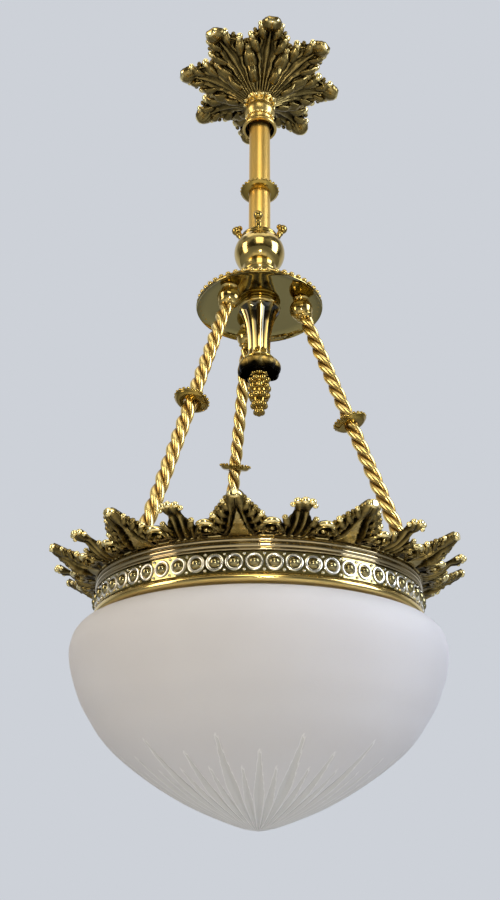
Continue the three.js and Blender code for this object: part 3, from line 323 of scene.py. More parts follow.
def smoothLine(points, steps):
    # a curve through the given points
    line = []
    last = len(points) - 1
    for i in range(last):
        a, b, c, d = (Vector(points[min(max(i + k, 0), last)]) for k in (-1, 0, 1, 2))
        for k in range(steps):
            u = k / steps
            bend, twist = 2 * a - 5 * b + 4 * c - d, 3 * b - a - 3 * c + d
            line.append(0.5 * (2 * b + (c - a) * u + bend * u * u + twist * u**3))
    line.append(Vector(points[last]))
    return line


def turned(profile, sides=96, wave=None, place=None, reliefs=None):
    # a closed outline of (radius, height) turned about the upright axis; wave varies the radius round it
    count = len(profile)
    verts, faces = [], []
    for i in range(sides):
        turn = tau * i / sides
        for j, (radius, height) in enumerate(profile):
            reach = wave(radius, height, turn, j) if wave else radius
            if place:
                verts.append(place(reach * math.cos(turn), reach * math.sin(turn), height))
            else:
                verts.append(at(reach, turn, height))
    for i in range(sides):
        k = (i + 1) % sides
        for j in range(count):
            n = (j + 1) % count
            if profile[j][0] == 0 and profile[n][0] == 0:
                continue
            faces.append((i * count + j, k * count + j, k * count + n, i * count + n))
    return verts, faces, list(reliefs) * sides if reliefs else None


def lofted(rings, relief=None):
    sides = len(rings[0])
    verts = [p for ring in rings for p in ring]
    faces = []
    for i in range(len(rings) - 1):
        for j in range(sides):
            k = (j + 1) % sides
            faces.append((i * sides + j, i * sides + k, (i + 1) * sides + k, (i + 1) * sides + j))
    faces.append(tuple(range(sides - 1, -1, -1)))
    faces.append(tuple((len(rings) - 1) * sides + j for j in range(sides)))
    return verts, faces, relief


def ball(centre, radius, place, squash=1.0, sides=12, rows=8, relief=1.0):
    # a knob in the casting's own (across, along, out) directions
    rings = []
    for i in range(rows + 1):
        tilt = math.pi * (0.02 + 0.96 * i / rows)
        rings.append(
            [
                place(
                    centre[0] + radius * math.sin(tilt) * math.cos(tau * j / sides),
                    centre[1] + radius * math.sin(tilt) * math.sin(tau * j / sides),
                    centre[2] + radius * squash * math.cos(tilt),
                )
                for j in range(sides)
            ]
        )
    # relief is the knob's painted light in cast finishes: 1 is a full painted highlight
    return lofted(rings, [relief] * (sides * (rows + 1)))


def finger(points, widths, depths, place, sides=10, steps=5, tip=0.82, relief=(0.15, 0.95)):
    # one swelling lobe or rib of a cast leaf along points, with its half widths and half depths
    line = smoothLine(points, steps)
    count = len(line) - 1
    rings, values = [], []

    def between(sizes, u):
        spot = u * (len(sizes) - 1)
        i = min(int(spot), len(sizes) - 2)
        return sizes[i] + (sizes[i + 1] - sizes[i]) * (spot - i)

    for i, spot in enumerate(line):
        u = i / count
        ahead = line[min(i + 1, count)] - line[max(i - 1, 0)]
        across = Vector((ahead.y, -ahead.x, 0)).normalized()
        taper = 1.0
        if u > tip:
            taper = math.sqrt(max(0.004, 1 - ((u - tip) / (1 - tip)) ** 2))
        if u < 1 - tip:
            taper = math.sqrt(max(0.004, 1 - ((1 - tip - u) / (1 - tip)) ** 2))
        half, deep = between(widths, u) * taper, between(depths, u) * taper
        ring = []
        for j in range(sides):
            turn = tau * j / sides
            p = spot + across * (half * math.cos(turn))
            ring.append(place(p.x, p.y, p.z + deep * math.sin(turn)))
            # painted light: brighter on the side facing out and towards the tip, painted shade on the side
            # behind
            lift = 0.5 + 0.5 * math.sin(turn)
            values.append(relief[0] + (relief[1] - relief[0]) * lift * (0.35 + 0.65 * u))
        rings.append(ring)
    return lofted(rings, values)


def ribbon(points, half, front, back, place, relief=(0.2, 0.8)):
    # a thin strip on edge that follows points, from back to front
    rings, values = [], []
    last = len(points) - 1
    for i, spot in enumerate(points):
        ahead = points[min(i + 1, last)] - points[max(i - 1, 0)]
        across = Vector((ahead.y, -ahead.x)).normalized() * half * (1 if i < last else 0.6)
        # painted light: a highlight on the front edge and painted shade on the back
        level = relief[0] + (relief[1] - relief[0]) * 0.5
        ring = []
        for side, out in ((-1, back), (-1, front - half), (0, front), (1, front - half), (1, back)):
            ring.append(place(spot.x + across.x * side, spot.y + across.y * side, out))
            values.append(relief[1] if out == front else (level if out > back else relief[0]))
        rings.append(ring)
    return lofted(rings, values)


# geometry node trees


def treeWith(name, sockets):
    tree = bpy.data.node_groups.new(name, "GeometryNodeTree")
    for label, kind in sockets:
        tree.interface.new_socket(name=label, in_out="INPUT", socket_type=kind)
    tree.interface.new_socket(name="Geometry", in_out="OUTPUT", socket_type="NodeSocketGeometry")
    return tree, addNode(tree, "NodeGroupInput").outputs


def endTree(tree, shape, finish):
    real = addNode(tree, "GeometryNodeRealizeInstances", {"Geometry": shape})
    painted = addNode(tree, "GeometryNodeSetMaterial", {"Geometry": real, "Material": finish})
    addNode(tree, "NodeGroupOutput", {"Geometry": painted})


def ringTree():
    # copies of one piece, turned evenly about the upright axis
    tree, given = treeWith(
        "ringOfCopies",
        [
            ("Piece", "NodeSocketObject"), ("Count", "NodeSocketInt"), ("First Turn", "NodeSocketFloat"),
            ("Finish", "NodeSocketMaterial"),
        ],
    )
    points = addNode(tree, "GeometryNodePoints", {"Count": given["Count"]})
    index = addNode(tree, "GeometryNodeInputIndex")
    step = addNode(tree, "ShaderNodeMath", {0: tau, 1: given["Count"]}, operation="DIVIDE")
    turn = addNode(
        tree, "ShaderNodeMath", {0: index, 1: step, 2: given["First Turn"]}, operation="MULTIPLY_ADD"
    )
    spin = addNode(tree, "ShaderNodeCombineXYZ", {"Z": turn})
    source = addNode(tree, "GeometryNodeObjectInfo", {"Object": given["Piece"]})
    copies = addNode(
        tree,
        "GeometryNodeInstanceOnPoints",
        {"Points": points, "Instance": source.outputs["Geometry"], "Rotation": spin},
    )
    endTree(tree, copies, given["Finish"])
    return tree


def ropeTree():
    # a bar of several strands laid together, swept up a line while it turns; relief is 0 in its grooves, for
    # painted shade there, and 1 on its crests, for painted highlights
    tree, given = treeWith(
        "ropeBar",
        [
            ("Length", "NodeSocketFloat"),
            ("Lead", "NodeSocketFloat"),
            ("Radius", "NodeSocketFloat"),
            ("Groove Radius", "NodeSocketFloat"),
            ("Fullness", "NodeSocketFloat"),
            ("Strands", "NodeSocketInt"),
            ("Rows", "NodeSocketInt"),
            ("Finish", "NodeSocketMaterial"),
        ],
    )
    top = addNode(tree, "ShaderNodeCombineXYZ", {"Z": given["Length"]})
    line = addNode(tree, "GeometryNodeCurvePrimitiveLine", {"End": top})
    rows = addNode(tree, "GeometryNodeResampleCurve", {"Curve": line, "Count": given["Rows"]})
    along = addNode(tree, "GeometryNodeSplineParameter")
    turns = addNode(tree, "ShaderNodeMath", {0: given["Length"], 1: given["Lead"]}, operation="DIVIDE")
    angle = addNode(tree, "ShaderNodeMath", {0: turns, 1: tau}, operation="MULTIPLY")
    tilt = addNode(tree, "ShaderNodeMath", {0: along, 1: angle}, operation="MULTIPLY")
    laid = addNode(tree, "GeometryNodeSetCurveTilt", {"Curve": rows, "Tilt": tilt})
    ring = addNode(tree, "GeometryNodeCurvePrimitiveCircle", {"Resolution": 52, "Radius": 1.0})
    place = addNode(tree, "GeometryNodeInputPosition")
    spot = addNode(tree, "ShaderNodeSeparateXYZ", {"Vector": place})
    # how far round from the nearest strand's crest each point of the section is
    around = addNode(
        tree, "ShaderNodeMath", {0: spot.outputs["Y"], 1: spot.outputs["X"]}, operation="ARCTAN2"
    )
    part = addNode(tree, "ShaderNodeMath", {0: math.pi, 1: given["Strands"]}, operation="DIVIDE")
    whole = addNode(tree, "ShaderNodeMath", {0: part, 1: 2.0}, operation="MULTIPLY")
    within = addNode(tree, "ShaderNodeMath", {0: around, 1: part}, operation="ADD")
    wrapped = addNode(tree, "ShaderNodeMath", {0: within, 1: whole}, operation="FLOORED_MODULO")
    local = addNode(tree, "ShaderNodeMath", {0: wrapped, 1: part}, operation="SUBTRACT")
    spread = addNode(tree, "ShaderNodeMath", {0: local, 1: given["Strands"]}, operation="MULTIPLY")
    half = addNode(tree, "ShaderNodeMath", {0: spread, 1: 0.5}, operation="MULTIPLY")
    # a strand swells from the groove's radius to the bar's
    wave = addNode(tree, "ShaderNodeMath", {0: half}, operation="COSINE")
    crest = addNode(tree, "ShaderNodeMath", {0: wave, 1: 0.0}, operation="MAXIMUM")
    swell = addNode(tree, "ShaderNodeMath", {0: crest, 1: given["Fullness"]}, operation="POWER")
    rise = addNode(
        tree, "ShaderNodeMath", {0: given["Radius"], 1: given["Groove Radius"]}, operation="SUBTRACT"
    )
    full = addNode(
        tree,
        "ShaderNodeMath",
        {0: swell, 1: rise, 2: given["Groove Radius"]},
        operation="MULTIPLY_ADD",
    )
    placed = addNode(tree, "ShaderNodeVectorMath", {0: place, "Scale": full}, operation="SCALE")
    # the swell is kept as relief, which the finish turns into painted shade and painted highlights
    painted = addNode(
        tree,
        "GeometryNodeStoreNamedAttribute",
        {"Geometry": ring, "Name": "relief", "Value": swell},
        data_type="FLOAT",
        domain="POINT",
    )
    section = addNode(tree, "GeometryNodeSetPosition", {"Geometry": painted, "Position": placed})
    bar = addNode(
        tree,
        "GeometryNodeCurveToMesh",
        {"Curve": laid, "Profile Curve": section, "Fill Caps": True},
    )
    endTree(tree, bar, given["Finish"])
    return tree


def grow(tree, name, values):
    seed = addObject(name + "Seed", bpy.data.meshes.new(name + "Seed"))
    modifier = seed.modifiers.new(name, "NODES")
    modifier.node_group = tree
    for socket in tree.interface.items_tree:
        if socket.in_out == "INPUT":
            modifier[socket.identifier] = values[socket.name]
    depsgraph = bpy.context.evaluated_depsgraph_get()
    grown = bpy.data.meshes.new_from_object(seed.evaluated_get(depsgraph))
    seed.modifiers.remove(modifier)
    bpy.data.objects.remove(seed)
    return grown


copiesTree = ringTree()


def ringOf(name, mesh, count, firstTurn, finish):
    one = addObject(name + "One", mesh)
    ring = grow(copiesTree, name, {"Piece": one, "Count": count, "First Turn": firstTurn, "Finish": finish})
    bpy.data.objects.remove(one)
    return ring


# camera, fitted to the photograph's circles

cameraFit = {
    "aside": -6.1,  # mm to the left of the stem
    "distance": 736.1,
    "height": -179.0,
    "yaw": -0.0028,  # turns in radians
    "pitch": 0.4335,
    "roll": 0.0069,
    "lens": 35.87,
    "objectTurn": math.radians(14),  # the arms stand this far round from the photograph's frame
}


def makeCamera(fit):
    yaw, pitch, roll = fit["yaw"], fit["pitch"], fit["roll"]
    right = Vector((math.cos(yaw), -math.sin(yaw), 0))
    forward = Vector((math.sin(yaw) * math.cos(pitch), math.cos(yaw) * math.cos(pitch), math.sin(pitch)))
    up = right.cross(forward)
    right, up = right * math.cos(roll) + up * math.sin(roll), up * math.cos(roll) - right * math.sin(roll)
    turn = Matrix.Rotation(fit["objectTurn"], 3, "Z")
    spot = turn @ Vector((fit["aside"], -fit["distance"], fit["height"])) * mm
    axes = Matrix([turn @ right, turn @ up, turn @ -forward]).transposed()
    camera = addObject("camera", bpy.data.cameras.new("camera"))
    camera.matrix_world = Matrix.Translation(spot + Vector((0, 0, galleryFoot))) @ axes.to_4x4()
    camera.data.lens = fit["lens"]
    camera.data.sensor_width = 36.0
    camera.data.clip_start = 0.01
    camera.data.clip_end = 60
    bpy.context.scene.camera = camera
    return camera


camera = makeCamera(cameraFit)


# stem, collar, ball and crown

stem = {
    "radius": 11.1, "bore": 9.9, "foot": 395.6, "top": 592, "clearance": 0.35, "collarHeight": 457,
    "collarRadius": 20.2, "collarThickness": 5, "collarBeads": 26,
}
stemHole = stem["radius"] + stem["clearance"]


def stemTube():
    wall = [
        (stem["bore"], stem["foot"]), (stem["radius"], stem["foot"]), (stem["radius"], stem["top"]),
        (stem["bore"], stem["top"]),
    ]
    return meshFrom("stemTube", [turned(wall, 64)])


addPiece("stem_tube_turned", stemTube(), goldBrass, "pendant", ["stem_tube"])

discLook = {"edge": 1.3, "lift": 1.6, "beadRadius": 1.55}


def beadedDisc(name, radius, hole, thickness, beadCount, place, finish):
    # a thin saucer with a row of beads on its upper edge, along its own axis
    half = thickness / 2
    rim = radius - discLook["edge"]
    profile = (
        [(hole, -half), (rim * 0.62, -half)]
        + arc((rim * 0.62, -half), (rim, half * 0.1), -discLook["lift"] * 0.55, 8)
        + arc((rim, half * 0.1), (rim, half * 0.75), -discLook["edge"] * 0.6, 6)
        + [(rim, half * 0.75), (rim * 0.8, half * 0.55), (hole + 1.6, half), (hole, half)]
    )
    disc = meshFrom(name, [turned(profile, 64, place=place)])
    bead = meshFrom(
        name + "Bead",
        [ball((rim, 0, half * 0.9), discLook["beadRadius"], lambda *spot: Vector(spot), 0.9, 10, 6, 1.0)],
    )
    beads = ringOf(name + "Beads", bead, beadCount, 0.0, finish)
    for vertex in beads.vertices:
        vertex.co = place(*vertex.co)
    return joinMeshes(name, [disc, beads])


def onStem(height):
    return lambda x, y, z: upright(x, y, z + height)


onCollar = onStem(stem["collarHeight"])
collar = beadedDisc(
    "stemCollar", stem["collarRadius"], stemHole, stem["collarThickness"], stem["collarBeads"], onCollar,
    antiqueBrass,
)
addPiece("stem_collar_disc", collar, antiqueBrass, "pendant", ["stem_collar"])

ballKnob = {
    "centre": 379, "radius": 25.4, "halfHeight": 23.2, "pole": 36, "cupTurn": -48, "foot": 333.1,
    "bore": 5.4,
}


def ballBody():
    half, centre, foot, radius = (ballKnob[key] for key in ("halfHeight", "centre", "foot", "radius"))
    pole, cupTurn = math.radians(ballKnob["pole"]), math.radians(ballKnob["cupTurn"])
    rise = centre - foot

    def spot(share, up):
        return (radius * share, foot + rise * up)

    profile = [(ballKnob["bore"], foot)]
    profile += arc(spot(0.585, 0), spot(0.585, 0.085), -1.0, 7)
    profile += arc(spot(0.56, 0.095), spot(0.47, 0.2), 1.2, 8)
    profile += arc(spot(0.47, 0.2), spot(0.5, 0.33), 0.8, 7)
    profile += arc(spot(0.5, 0.335), spot(0.68, 0.41), -1.4, 8)
    profile += arc(spot(0.7, 0.42), spot(0.69, 0.485), -0.9, 7)
    profile += [spot(0.66, 0.5), spot(0.655, 0.53)]
    rings = 26
    for j in range(rings + 1):
        turn = cupTurn + (pole - cupTurn) * j / rings
        profile.append((radius * math.cos(turn), centre + half * math.sin(turn)))
    profile += [
        (15.6, centre + half * 0.62), (4.2, centre + half * 0.63), (4.2, 345.5), (ballKnob["bore"], 345.3),
    ]
    return meshFrom("ballBody", [turned(profile, 96)])


addPiece("ball_body_turned", ballBody(), polishedBrass, "pendant", ["ball_body"])

crown = {"foot": 395.4, "radius": 19.2, "height": 5.6, "hooks": 4, "firstTurn": math.radians(10)}


def ballCrown():
    foot, radius, height = crown["foot"], crown["radius"], crown["height"]
    profile = [(stemHole, foot), (radius - 0.8, foot - 2.5)]
    profile += arc((radius, foot - 2.6), (radius, foot + 1.2), -0.8, 6)
    profile += [(radius - 0.9, foot + 1.6)]
    profile += arc((radius - 0.8, foot + 1.9), (radius - 2.4, foot + 4.9), -0.9, 6)
    profile += [(stemHole + 1, foot + height), (stemHole, foot + height)]
    ring = meshFrom("crownRing", [turned(profile, 64)])

    def place(across, along, out):
        return upright(out, across, foot + along)

    def leaf(points, widths, depths):
        # a crown point: (out, up) points with its width across and its thickness
        rings = []
        line = smoothLine(points, 6)
        count = len(line) - 1
        for i, spot in enumerate(line):
            u = i / count
            ahead = (line[min(i + 1, count)] - line[max(i - 1, 0)]).normalized()
            spread = widths[0] + (widths[1] - widths[0]) * u
            thick = depths[0] + (depths[1] - depths[0]) * u
            if u > 0.85:
                shrink = math.sqrt(max(0.01, 1 - ((u - 0.85) / 0.15) ** 2))
                spread, thick = spread * shrink, thick * shrink
            rings.append(
                [
                    place(
                        spread * math.cos(tau * j / 12),
                        spot.y + ahead.x * thick * math.sin(tau * j / 12),
                        spot.x - ahead.y * thick * math.sin(tau * j / 12),
                    )
                    for j in range(12)
                ]
            )
        return lofted(rings)

    point = meshFrom(
        "crownPoint",
        [
            leaf(
                [(16.2, 1.6), (19.4, 3.8), (20.4, 8.0), (20.8, 12.2), (22.2, 14.8), (24.0, 13.8)],
                (3.4, 2.8),
                (2.2, 2.1),
            ),
            ball((0, 13.4, 23.6), 4.7, place, 1.0, 12, 8),
            ball((0, 16.4, 20.4), 3.1, place, 1.0, 10, 6),
            ball((0, 8.0, 20.8), 3.4, place, 1.0, 10, 6),
        ],
    )
    hooks = ringOf("crownHooks", point, crown["hooks"], crown["firstTurn"], antiqueBrass)
    return joinMeshes("ballCrown", [ring, hooks])


addPiece("ball_crown_hooks", ballCrown(), antiqueBrass, "pendant", ["ball_crown"])
print("stem made")


# plate, trumpet, cup and berries

plate = {
    "radius": 62.3, "foot": 312.8, "depth": 20, "skin": 1.8, "flat": 317.5, "hole": 5.5, "beads": 48,
    "beadRadius": 2.6, "beadCircle": 58.7, "beadHeight": 317.6, "firstTurn": math.radians(-76),
    "footBeads": 18, "footBeadRadius": 2.6, "footBeadCircle": 17.9,
}


def plateDish():
    radius, foot, flat = plate["radius"], plate["foot"], plate["flat"]
    profile = [(plate["hole"], flat), (radius * 0.76, flat)]
    profile += arc((radius * 0.78, flat), (radius * 0.985, foot + 0.1), 1.4, 14)
    profile += arc((radius * 0.985, foot), (radius * 0.98, foot + 0.8), -0.3, 5)
    profile += [
        (radius * 0.95, foot + 1.9), (radius * 0.93, foot + 3), (radius * 0.78, flat + plate["skin"]),
    ]
    profile += [(plate["hole"], flat + plate["skin"])]
    return meshFrom("plateDish", [turned(profile, 128)])


addPiece("plate_dish_mirror", plateDish(), mirrorBrass, "pendant", ["plate_dish"])


def plateCover():
    radius, foot, depth, skin = plate["radius"], plate["foot"], plate["depth"], plate["skin"]
    dome = [(0.88, 0.44), (0.8, 0.62), (0.6, 0.88), (0.4, 1), (0.3, 1)]
    outer = smoothLine([(radius * s, foot + depth * h) for s, h in dome], 8)
    rim = [(0.925, 0.17), (0.94, 0.2), (0.94, 0.26), (0.92, 0.32)]
    profile = [(radius * s, foot + depth * h) for s, h in rim]
    profile += [(p.x, p.y) for p in outer]
    profile += [(plate["hole"], foot + depth), (plate["hole"], foot + depth - skin)]
    inner = [(radius * s, foot + depth * h) for s, h in [(0.4, 0.91), (0.56, 0.8), (0.78, 0.5), (0.88, 0.26)]]
    cover = meshFrom("plateCover", [turned(profile + inner, 128)])
    edge = (plate["beadCircle"], 0, plate["beadHeight"])
    bead = meshFrom("plateBead", [ball(edge, plate["beadRadius"], upright, 1.0, 12, 8)])
    beads = ringOf("plateBeads", bead, plate["beads"], plate["firstTurn"], polishedBrass)
    around = (plate["footBeadCircle"], 0, foot + depth + 2.4)
    small = meshFrom("footBead", [ball(around, plate["footBeadRadius"], upright, 1.0, 10, 6)])
    ring = ringOf("footBeads", small, plate["footBeads"], plate["firstTurn"], polishedBrass)
    return joinMeshes("plateCover", [cover, beads, ring])


addPiece("plate_cover_beaded", plateCover(), polishedBrass, "pendant", ["plate_cover"])

trumpet = {"top": 317.2, "foot": 257.5, "radius": 21, "flutes": 10, "flat": 0.135}


def trumpetBoss():
    top, foot, radius = trumpet["top"], trumpet["foot"], trumpet["radius"]
    height = top - foot
    shares = [
        (0.525, 0.02), (0.515, 0.14), (0.53, 0.3), (0.575, 0.46), (0.66, 0.62), (0.76, 0.74), (0.86, 0.82),
        (0.95, 0.885),
    ]
    flank = [(s.x * radius, foot + s.y * height) for s in smoothLine(shares, 6)]
    profile = [(5.6, foot), (radius * 0.515, foot)] + flank
    first, last = 2, 2 + len(flank)
    profile += [(radius * 0.9, foot + height * 0.9)]
    profile += arc((radius * 0.96, foot + height * 0.915), (radius * 0.96, foot + height * 0.955), -0.5, 6)
    profile += arc((radius * 0.9, foot + height * 0.96), (radius * 0.9, top), -0.3, 5)
    profile += [(radius * 0.88, top), (5.6, top)]

    def shareOf(j):
        return (j - first) / (last - first)

    def valley(turn):
        return abs(math.sin(turn * trumpet["flutes"] / 2))

    def wave(reach, height, turn, j):
        if not first <= j < last:
            return reach
        ease = min(1, shareOf(j) * 8) * min(1, (1 - shareOf(j)) * 7)
        return reach * (1 - trumpet["flat"] * ease * valley(turn))

    sides = 240
    verts, faces, _ = turned(profile, sides, wave)
    # painted light: highlights on the ribs and the lower flanks, grey painted shade down the flutes
    paintedLight = []
    for i in range(sides):
        rib = (1 - valley(tau * i / sides)) ** 2
        for j in range(len(profile)):
            low = max(0.0, 1 - 2.4 * shareOf(j))
            paintedLight.append(min(1.0, 0.02 + 0.9 * rib + 0.7 * low) if first <= j < last else 0.6)
    return meshFrom("trumpetBoss", [(verts, faces, paintedLight)])


addPiece("trumpet_boss_fluted", trumpetBoss(), flutedBrass, "pendant", ["trumpet_boss"], crease=50)

cup = {"top": 257.2, "height": 17, "radius": 20.8, "lobes": 8, "dent": 1.4}


def finialCup():
    foot = cup["top"] - cup["height"]
    # shares of the radius and height, and how far each row is dented between the lobes
    rows = [
        (0.27, 1, 0), (0.62, 1, 0), (0.67, 0.97, 0), (0.68, 0.9, 0), (0.64, 0.85, 0),
        (0.68, 0.8, 0.0), (0.8, 0.76, 0.01), (0.9, 0.68, 0.02), (0.97, 0.54, 0.04), (1, 0.38, 0.06),
        (1, 0.2, 0.08), (0.97, 0.06, 0.09), (0.93, 0, 0.1), (0.89, 0.02, 0.1), (0.9, 0.2, 0.08),
        (0.9, 0.38, 0.06), (0.82, 0.55, 0.04), (0.64, 0.66, 0.02), (0.42, 0.7, 0), (0.27, 0.7, 0),
    ]
    profile = [(cup["radius"] * r, foot + cup["height"] * h) for r, h, _ in rows]
    dents = [dent for _, _, dent in rows]
    # painted light: a painted highlight on the upper rows, black painted shade under the lip and inside
    paintedLight = [0.85] * 8 + [0.6, 0.25, 0.05, 0, 0, 0] + [0] * 6

    def wave(reach, height, turn, j):
        return reach * (1 - dents[j] * cup["dent"] * (1 - abs(math.cos(turn * cup["lobes"] / 2))))

    return meshFrom("finialCup", [turned(profile, 160, wave, None, paintedLight)])


addPiece("finial_cup_lobed", finialCup(), shadedBrass, "pendant", ["finial_cup"], crease=50)

berries = {"top": 241.5, "length": 44, "radius": 10.4, "rows": 6, "around": 7, "berry": 3.9}


def berryFinial():
    shares = [
        (0.66, 1), (0.82, 0.9), (0.93, 0.74), (0.98, 0.58), (0.86, 0.4), (0.64, 0.22), (0.4, 0.08),
        (0.0, 0.0),
    ]
    foot = berries["top"] - berries["length"]
    core = smoothLine([(s * (berries["radius"] - 2.2), foot + h * berries["length"]) for s, h in shares], 5)
    stalk = [(5.6, foot + berries["length"]), (5.6, 227.5), (0, 227.5)]
    profile = [(0, foot)] + [(max(p.x, 0.0), p.y) for p in reversed(core[:-1])]
    parts = [meshFrom("berryCore", [turned([*profile, *stalk], 32)])]
    reach = berries["radius"] - berries["berry"] * 0.62
    line = [(s * reach, foot + h * berries["length"]) for s, h in shares]
    curve = smoothLine(line, 12)
    for row in range(berries["rows"]):
        u = (row + 0.35) / berries["rows"]
        spot = curve[min(int(u * (len(curve) - 1)), len(curve) - 2)]
        size = berries["berry"] * (1 - 0.25 * max(0, (u - 0.5) * 2))
        around = berries["around"] if spot.x > 4.6 else (6 if spot.x > 3 else 5)
        centre = (max(spot.x, 1.6), 0, spot.y)
        berry = meshFrom("berry", [ball(centre, size, upright, 1.0, 10, 7)])
        firstTurn = plate["firstTurn"] + (row % 2) * math.pi / around
        parts.append(ringOf("berries", berry, around, firstTurn, antiqueBrass))
    tip = meshFrom("berryTip", [ball((0, 0, foot + 2.7), 2.6, upright, 1.0, 10, 7)])
    return joinMeshes("berryFinial", [*parts, tip])


addPiece("berry_finial_bunch", berryFinial(), antiqueBrass, "pendant", ["berry_finial"])
print("plate made")


# rope arms with sockets, rosettes and feet

arms = {
    "count": 3,
    "radius": 6.35,
    "groove": 3.9,
    "fullness": 0.9,
    "lead": -44,
    "strands": 3,
    "rows": 320,
    "footRadius": 130.3,
    "footHeight": 41,
    "topRadius": 45.86,
    "topHeight": 292.5,
    "rosetteRadius": 15.6,
    "rosetteHeight": 178.8,
    "rosetteThickness": 4.6,
    "rosetteBeads": 22,
    "rosetteClearance": 0.1,
    "socketBall": 11.2,
    "socketHeight": 306,
}
armLean = math.atan2(arms["topRadius"] - arms["footRadius"], arms["topHeight"] - arms["footHeight"])
armLength = (arms["topHeight"] - arms["footHeight"]) / math.cos(armLean)
ropeBar = grow(
    ropeTree(),
    "ropeBar",
    {
        "Length": armLength,
        "Lead": arms["lead"],
        "Radius": arms["radius"],
        "Groove Radius": arms["groove"],
        "Fullness": arms["fullness"],
        "Strands": arms["strands"],
        "Rows": arms["rows"],
        "Finish": ropeBrass,
    },
)
tidyMesh(ropeBar)


def onArm(k, along=0.0):
    # up an arm's leaning axis from its foot
    turn = Matrix.Rotation(tau * k / arms["count"], 4, "Z")
    lean = Matrix.Rotation(armLean, 4, "Y")
    foot = Matrix.Translation((arms["footRadius"], 0, arms["footHeight"]))
    place = Matrix.Translation((0, 0, galleryFoot)) @ Matrix.Scale(mm, 4) @ turn @ foot @ lean
    return lambda x, y, z: place @ Vector((x, y, z + along))


def socketBall(place):
    distance = (arms["socketHeight"] - arms["topHeight"]) / math.cos(armLean)
    radius = arms["socketBall"]
    profile = [(0, 0.3), (radius * 0.52, 0.3)]
    profile += arc((radius * 0.52, 0.4), (radius * 0.5, distance * 0.24), 0.5, 5)
    profile += arc((radius * 0.62, distance * 0.25), (radius * 0.66, distance * 0.42), -0.9, 6)
    profile += [(radius * 0.6, distance * 0.45)]
    for j in range(21):
        turn = math.radians(-50 + 140 * j / 20)
        profile.append((radius * math.cos(turn) if j < 20 else 0, distance + radius * math.sin(turn)))
    return turned([(r, h + armLength) for r, h in profile], 48, place=place)


def overSocket(k):
    # upright, about the middle of an arm's socket ball
    distance = arms["topRadius"] + math.tan(armLean) * (arms["socketHeight"] - arms["topHeight"])
    turn = tau * k / arms["count"]
    centre = Vector((distance * math.cos(turn), distance * math.sin(turn), 0))
    return lambda x, y, z: (centre + Vector((x, y, z))) * mm + Vector((0, 0, galleryFoot))


def socketBoss(place):
    foot = arms["socketHeight"]
    profile = [(0, foot), (6.6, foot), (6.6, 313.5)] + arc((6.6, 313.6), (8.2, 317.1), 0.9, 5)
    return turned(profile + [(8.2, 317.2), (0, 317.2)], 40, place=place)


def socketNut(place):
    nipple = turned([(2.1, 317.3), (3.6, 317.3), (3.6, 323.6), (3.3, 324), (2.1, 324)], 24, place=place)
    nut = turned(
        [(3.6, 319.7), (5.7, 319.7), (6, 320), (6, 322.3), (5.7, 322.6), (3.6, 322.6)], 6, place=place
    )
    return [nipple, nut]


def armFoot(k, place):
    profile = [(0, -3.6), (6.2, -3.6)] + arc((6.4, -3.5), (6.4, -0.4), -0.9, 8) + [(6.3, -0.3), (0, -0.3)]
    ferrule = turned(profile, 40, place=place)
    turn = tau * k / arms["count"]
    along = Vector((math.cos(turn), math.sin(turn), 0))
    side = Vector((-math.sin(turn), math.cos(turn), 0))

    def lugPoint(x, y, z):
        return (along * x + side * y) * mm + Vector((0, 0, galleryFoot + z * mm))

    rings = []
    for height, inset in ((26.9, 0.5), (27.4, 0), (36, 0.3), (38.6, 1.2)):
        ring = []
        for x, y in ((123.3, -7), (128.9, -7), (128.9, 7), (126, 7), (123.3, 5.4), (123, 0)):
            ring.append(lugPoint(x + (inset if x < 126 else -inset), y * (1 - inset / 9), height))
        rings.append(ring)
    return [ferrule, lofted(rings)]


for k in range(arms["count"]):
    place = onArm(k)
    rope = ropeBar.copy()
    for vertex in rope.vertices:
        vertex.co = place(*vertex.co)
    tidyMesh(rope)
    addPiece(
        f"rope_arm_laid_{k + 1}", rope, ropeBrass, "pendant", [f"rope_arm_{k + 1}"],
        crease=60,
    )
    above = overSocket(k)
    socket = meshFrom("armSocket", [socketBall(place), socketBoss(above), *socketNut(above)])
    addPiece(
        f"arm_socket_ball_{k + 1}",
        socket,
        polishedBrass,
        "pendant",
        [f"arm_socket_{k + 1}"],
    )
    along = (arms["rosetteHeight"] - arms["footHeight"]) / math.cos(armLean)
    disc = beadedDisc(
        "rosette", arms["rosetteRadius"], arms["radius"] + arms["rosetteClearance"],
        arms["rosetteThickness"], arms["rosetteBeads"], onArm(k, along), antiqueBrass,
    )
    addPiece(f"arm_rosette_beaded_{k + 1}", disc, antiqueBrass, "pendant", [f"arm_rosette_{k + 1}"])
    foot = meshFrom("armFoot", armFoot(k, place))
    addPiece(f"arm_foot_lug_{k + 1}", foot, polishedBrass, "pendant", [f"arm_foot_{k + 1}"])
print("arms made")


# gallery band and bead frieze

band = {
    "lip": 127.3, "wallIn": 131.2, "wallOut": 133, "split": 14, "top": 32, "friezeFoot": 6.5,
    "friezeTop": 21.5,
}


def galleryRoll():
    lip, inner, outer, split = band["lip"], band["wallIn"], band["wallOut"], band["split"]
    profile = [(lip, 0), (134.6, 0)] + arc((134.8, 0.1), (134.8, 5.4), -1.2, 12)
    profile += [(134.3, 5.6), (outer, 6.2), (outer, split), (inner, split), (inner, 4), (lip, 4)]
    return meshFrom("galleryRoll", [turned(profile, 360)])


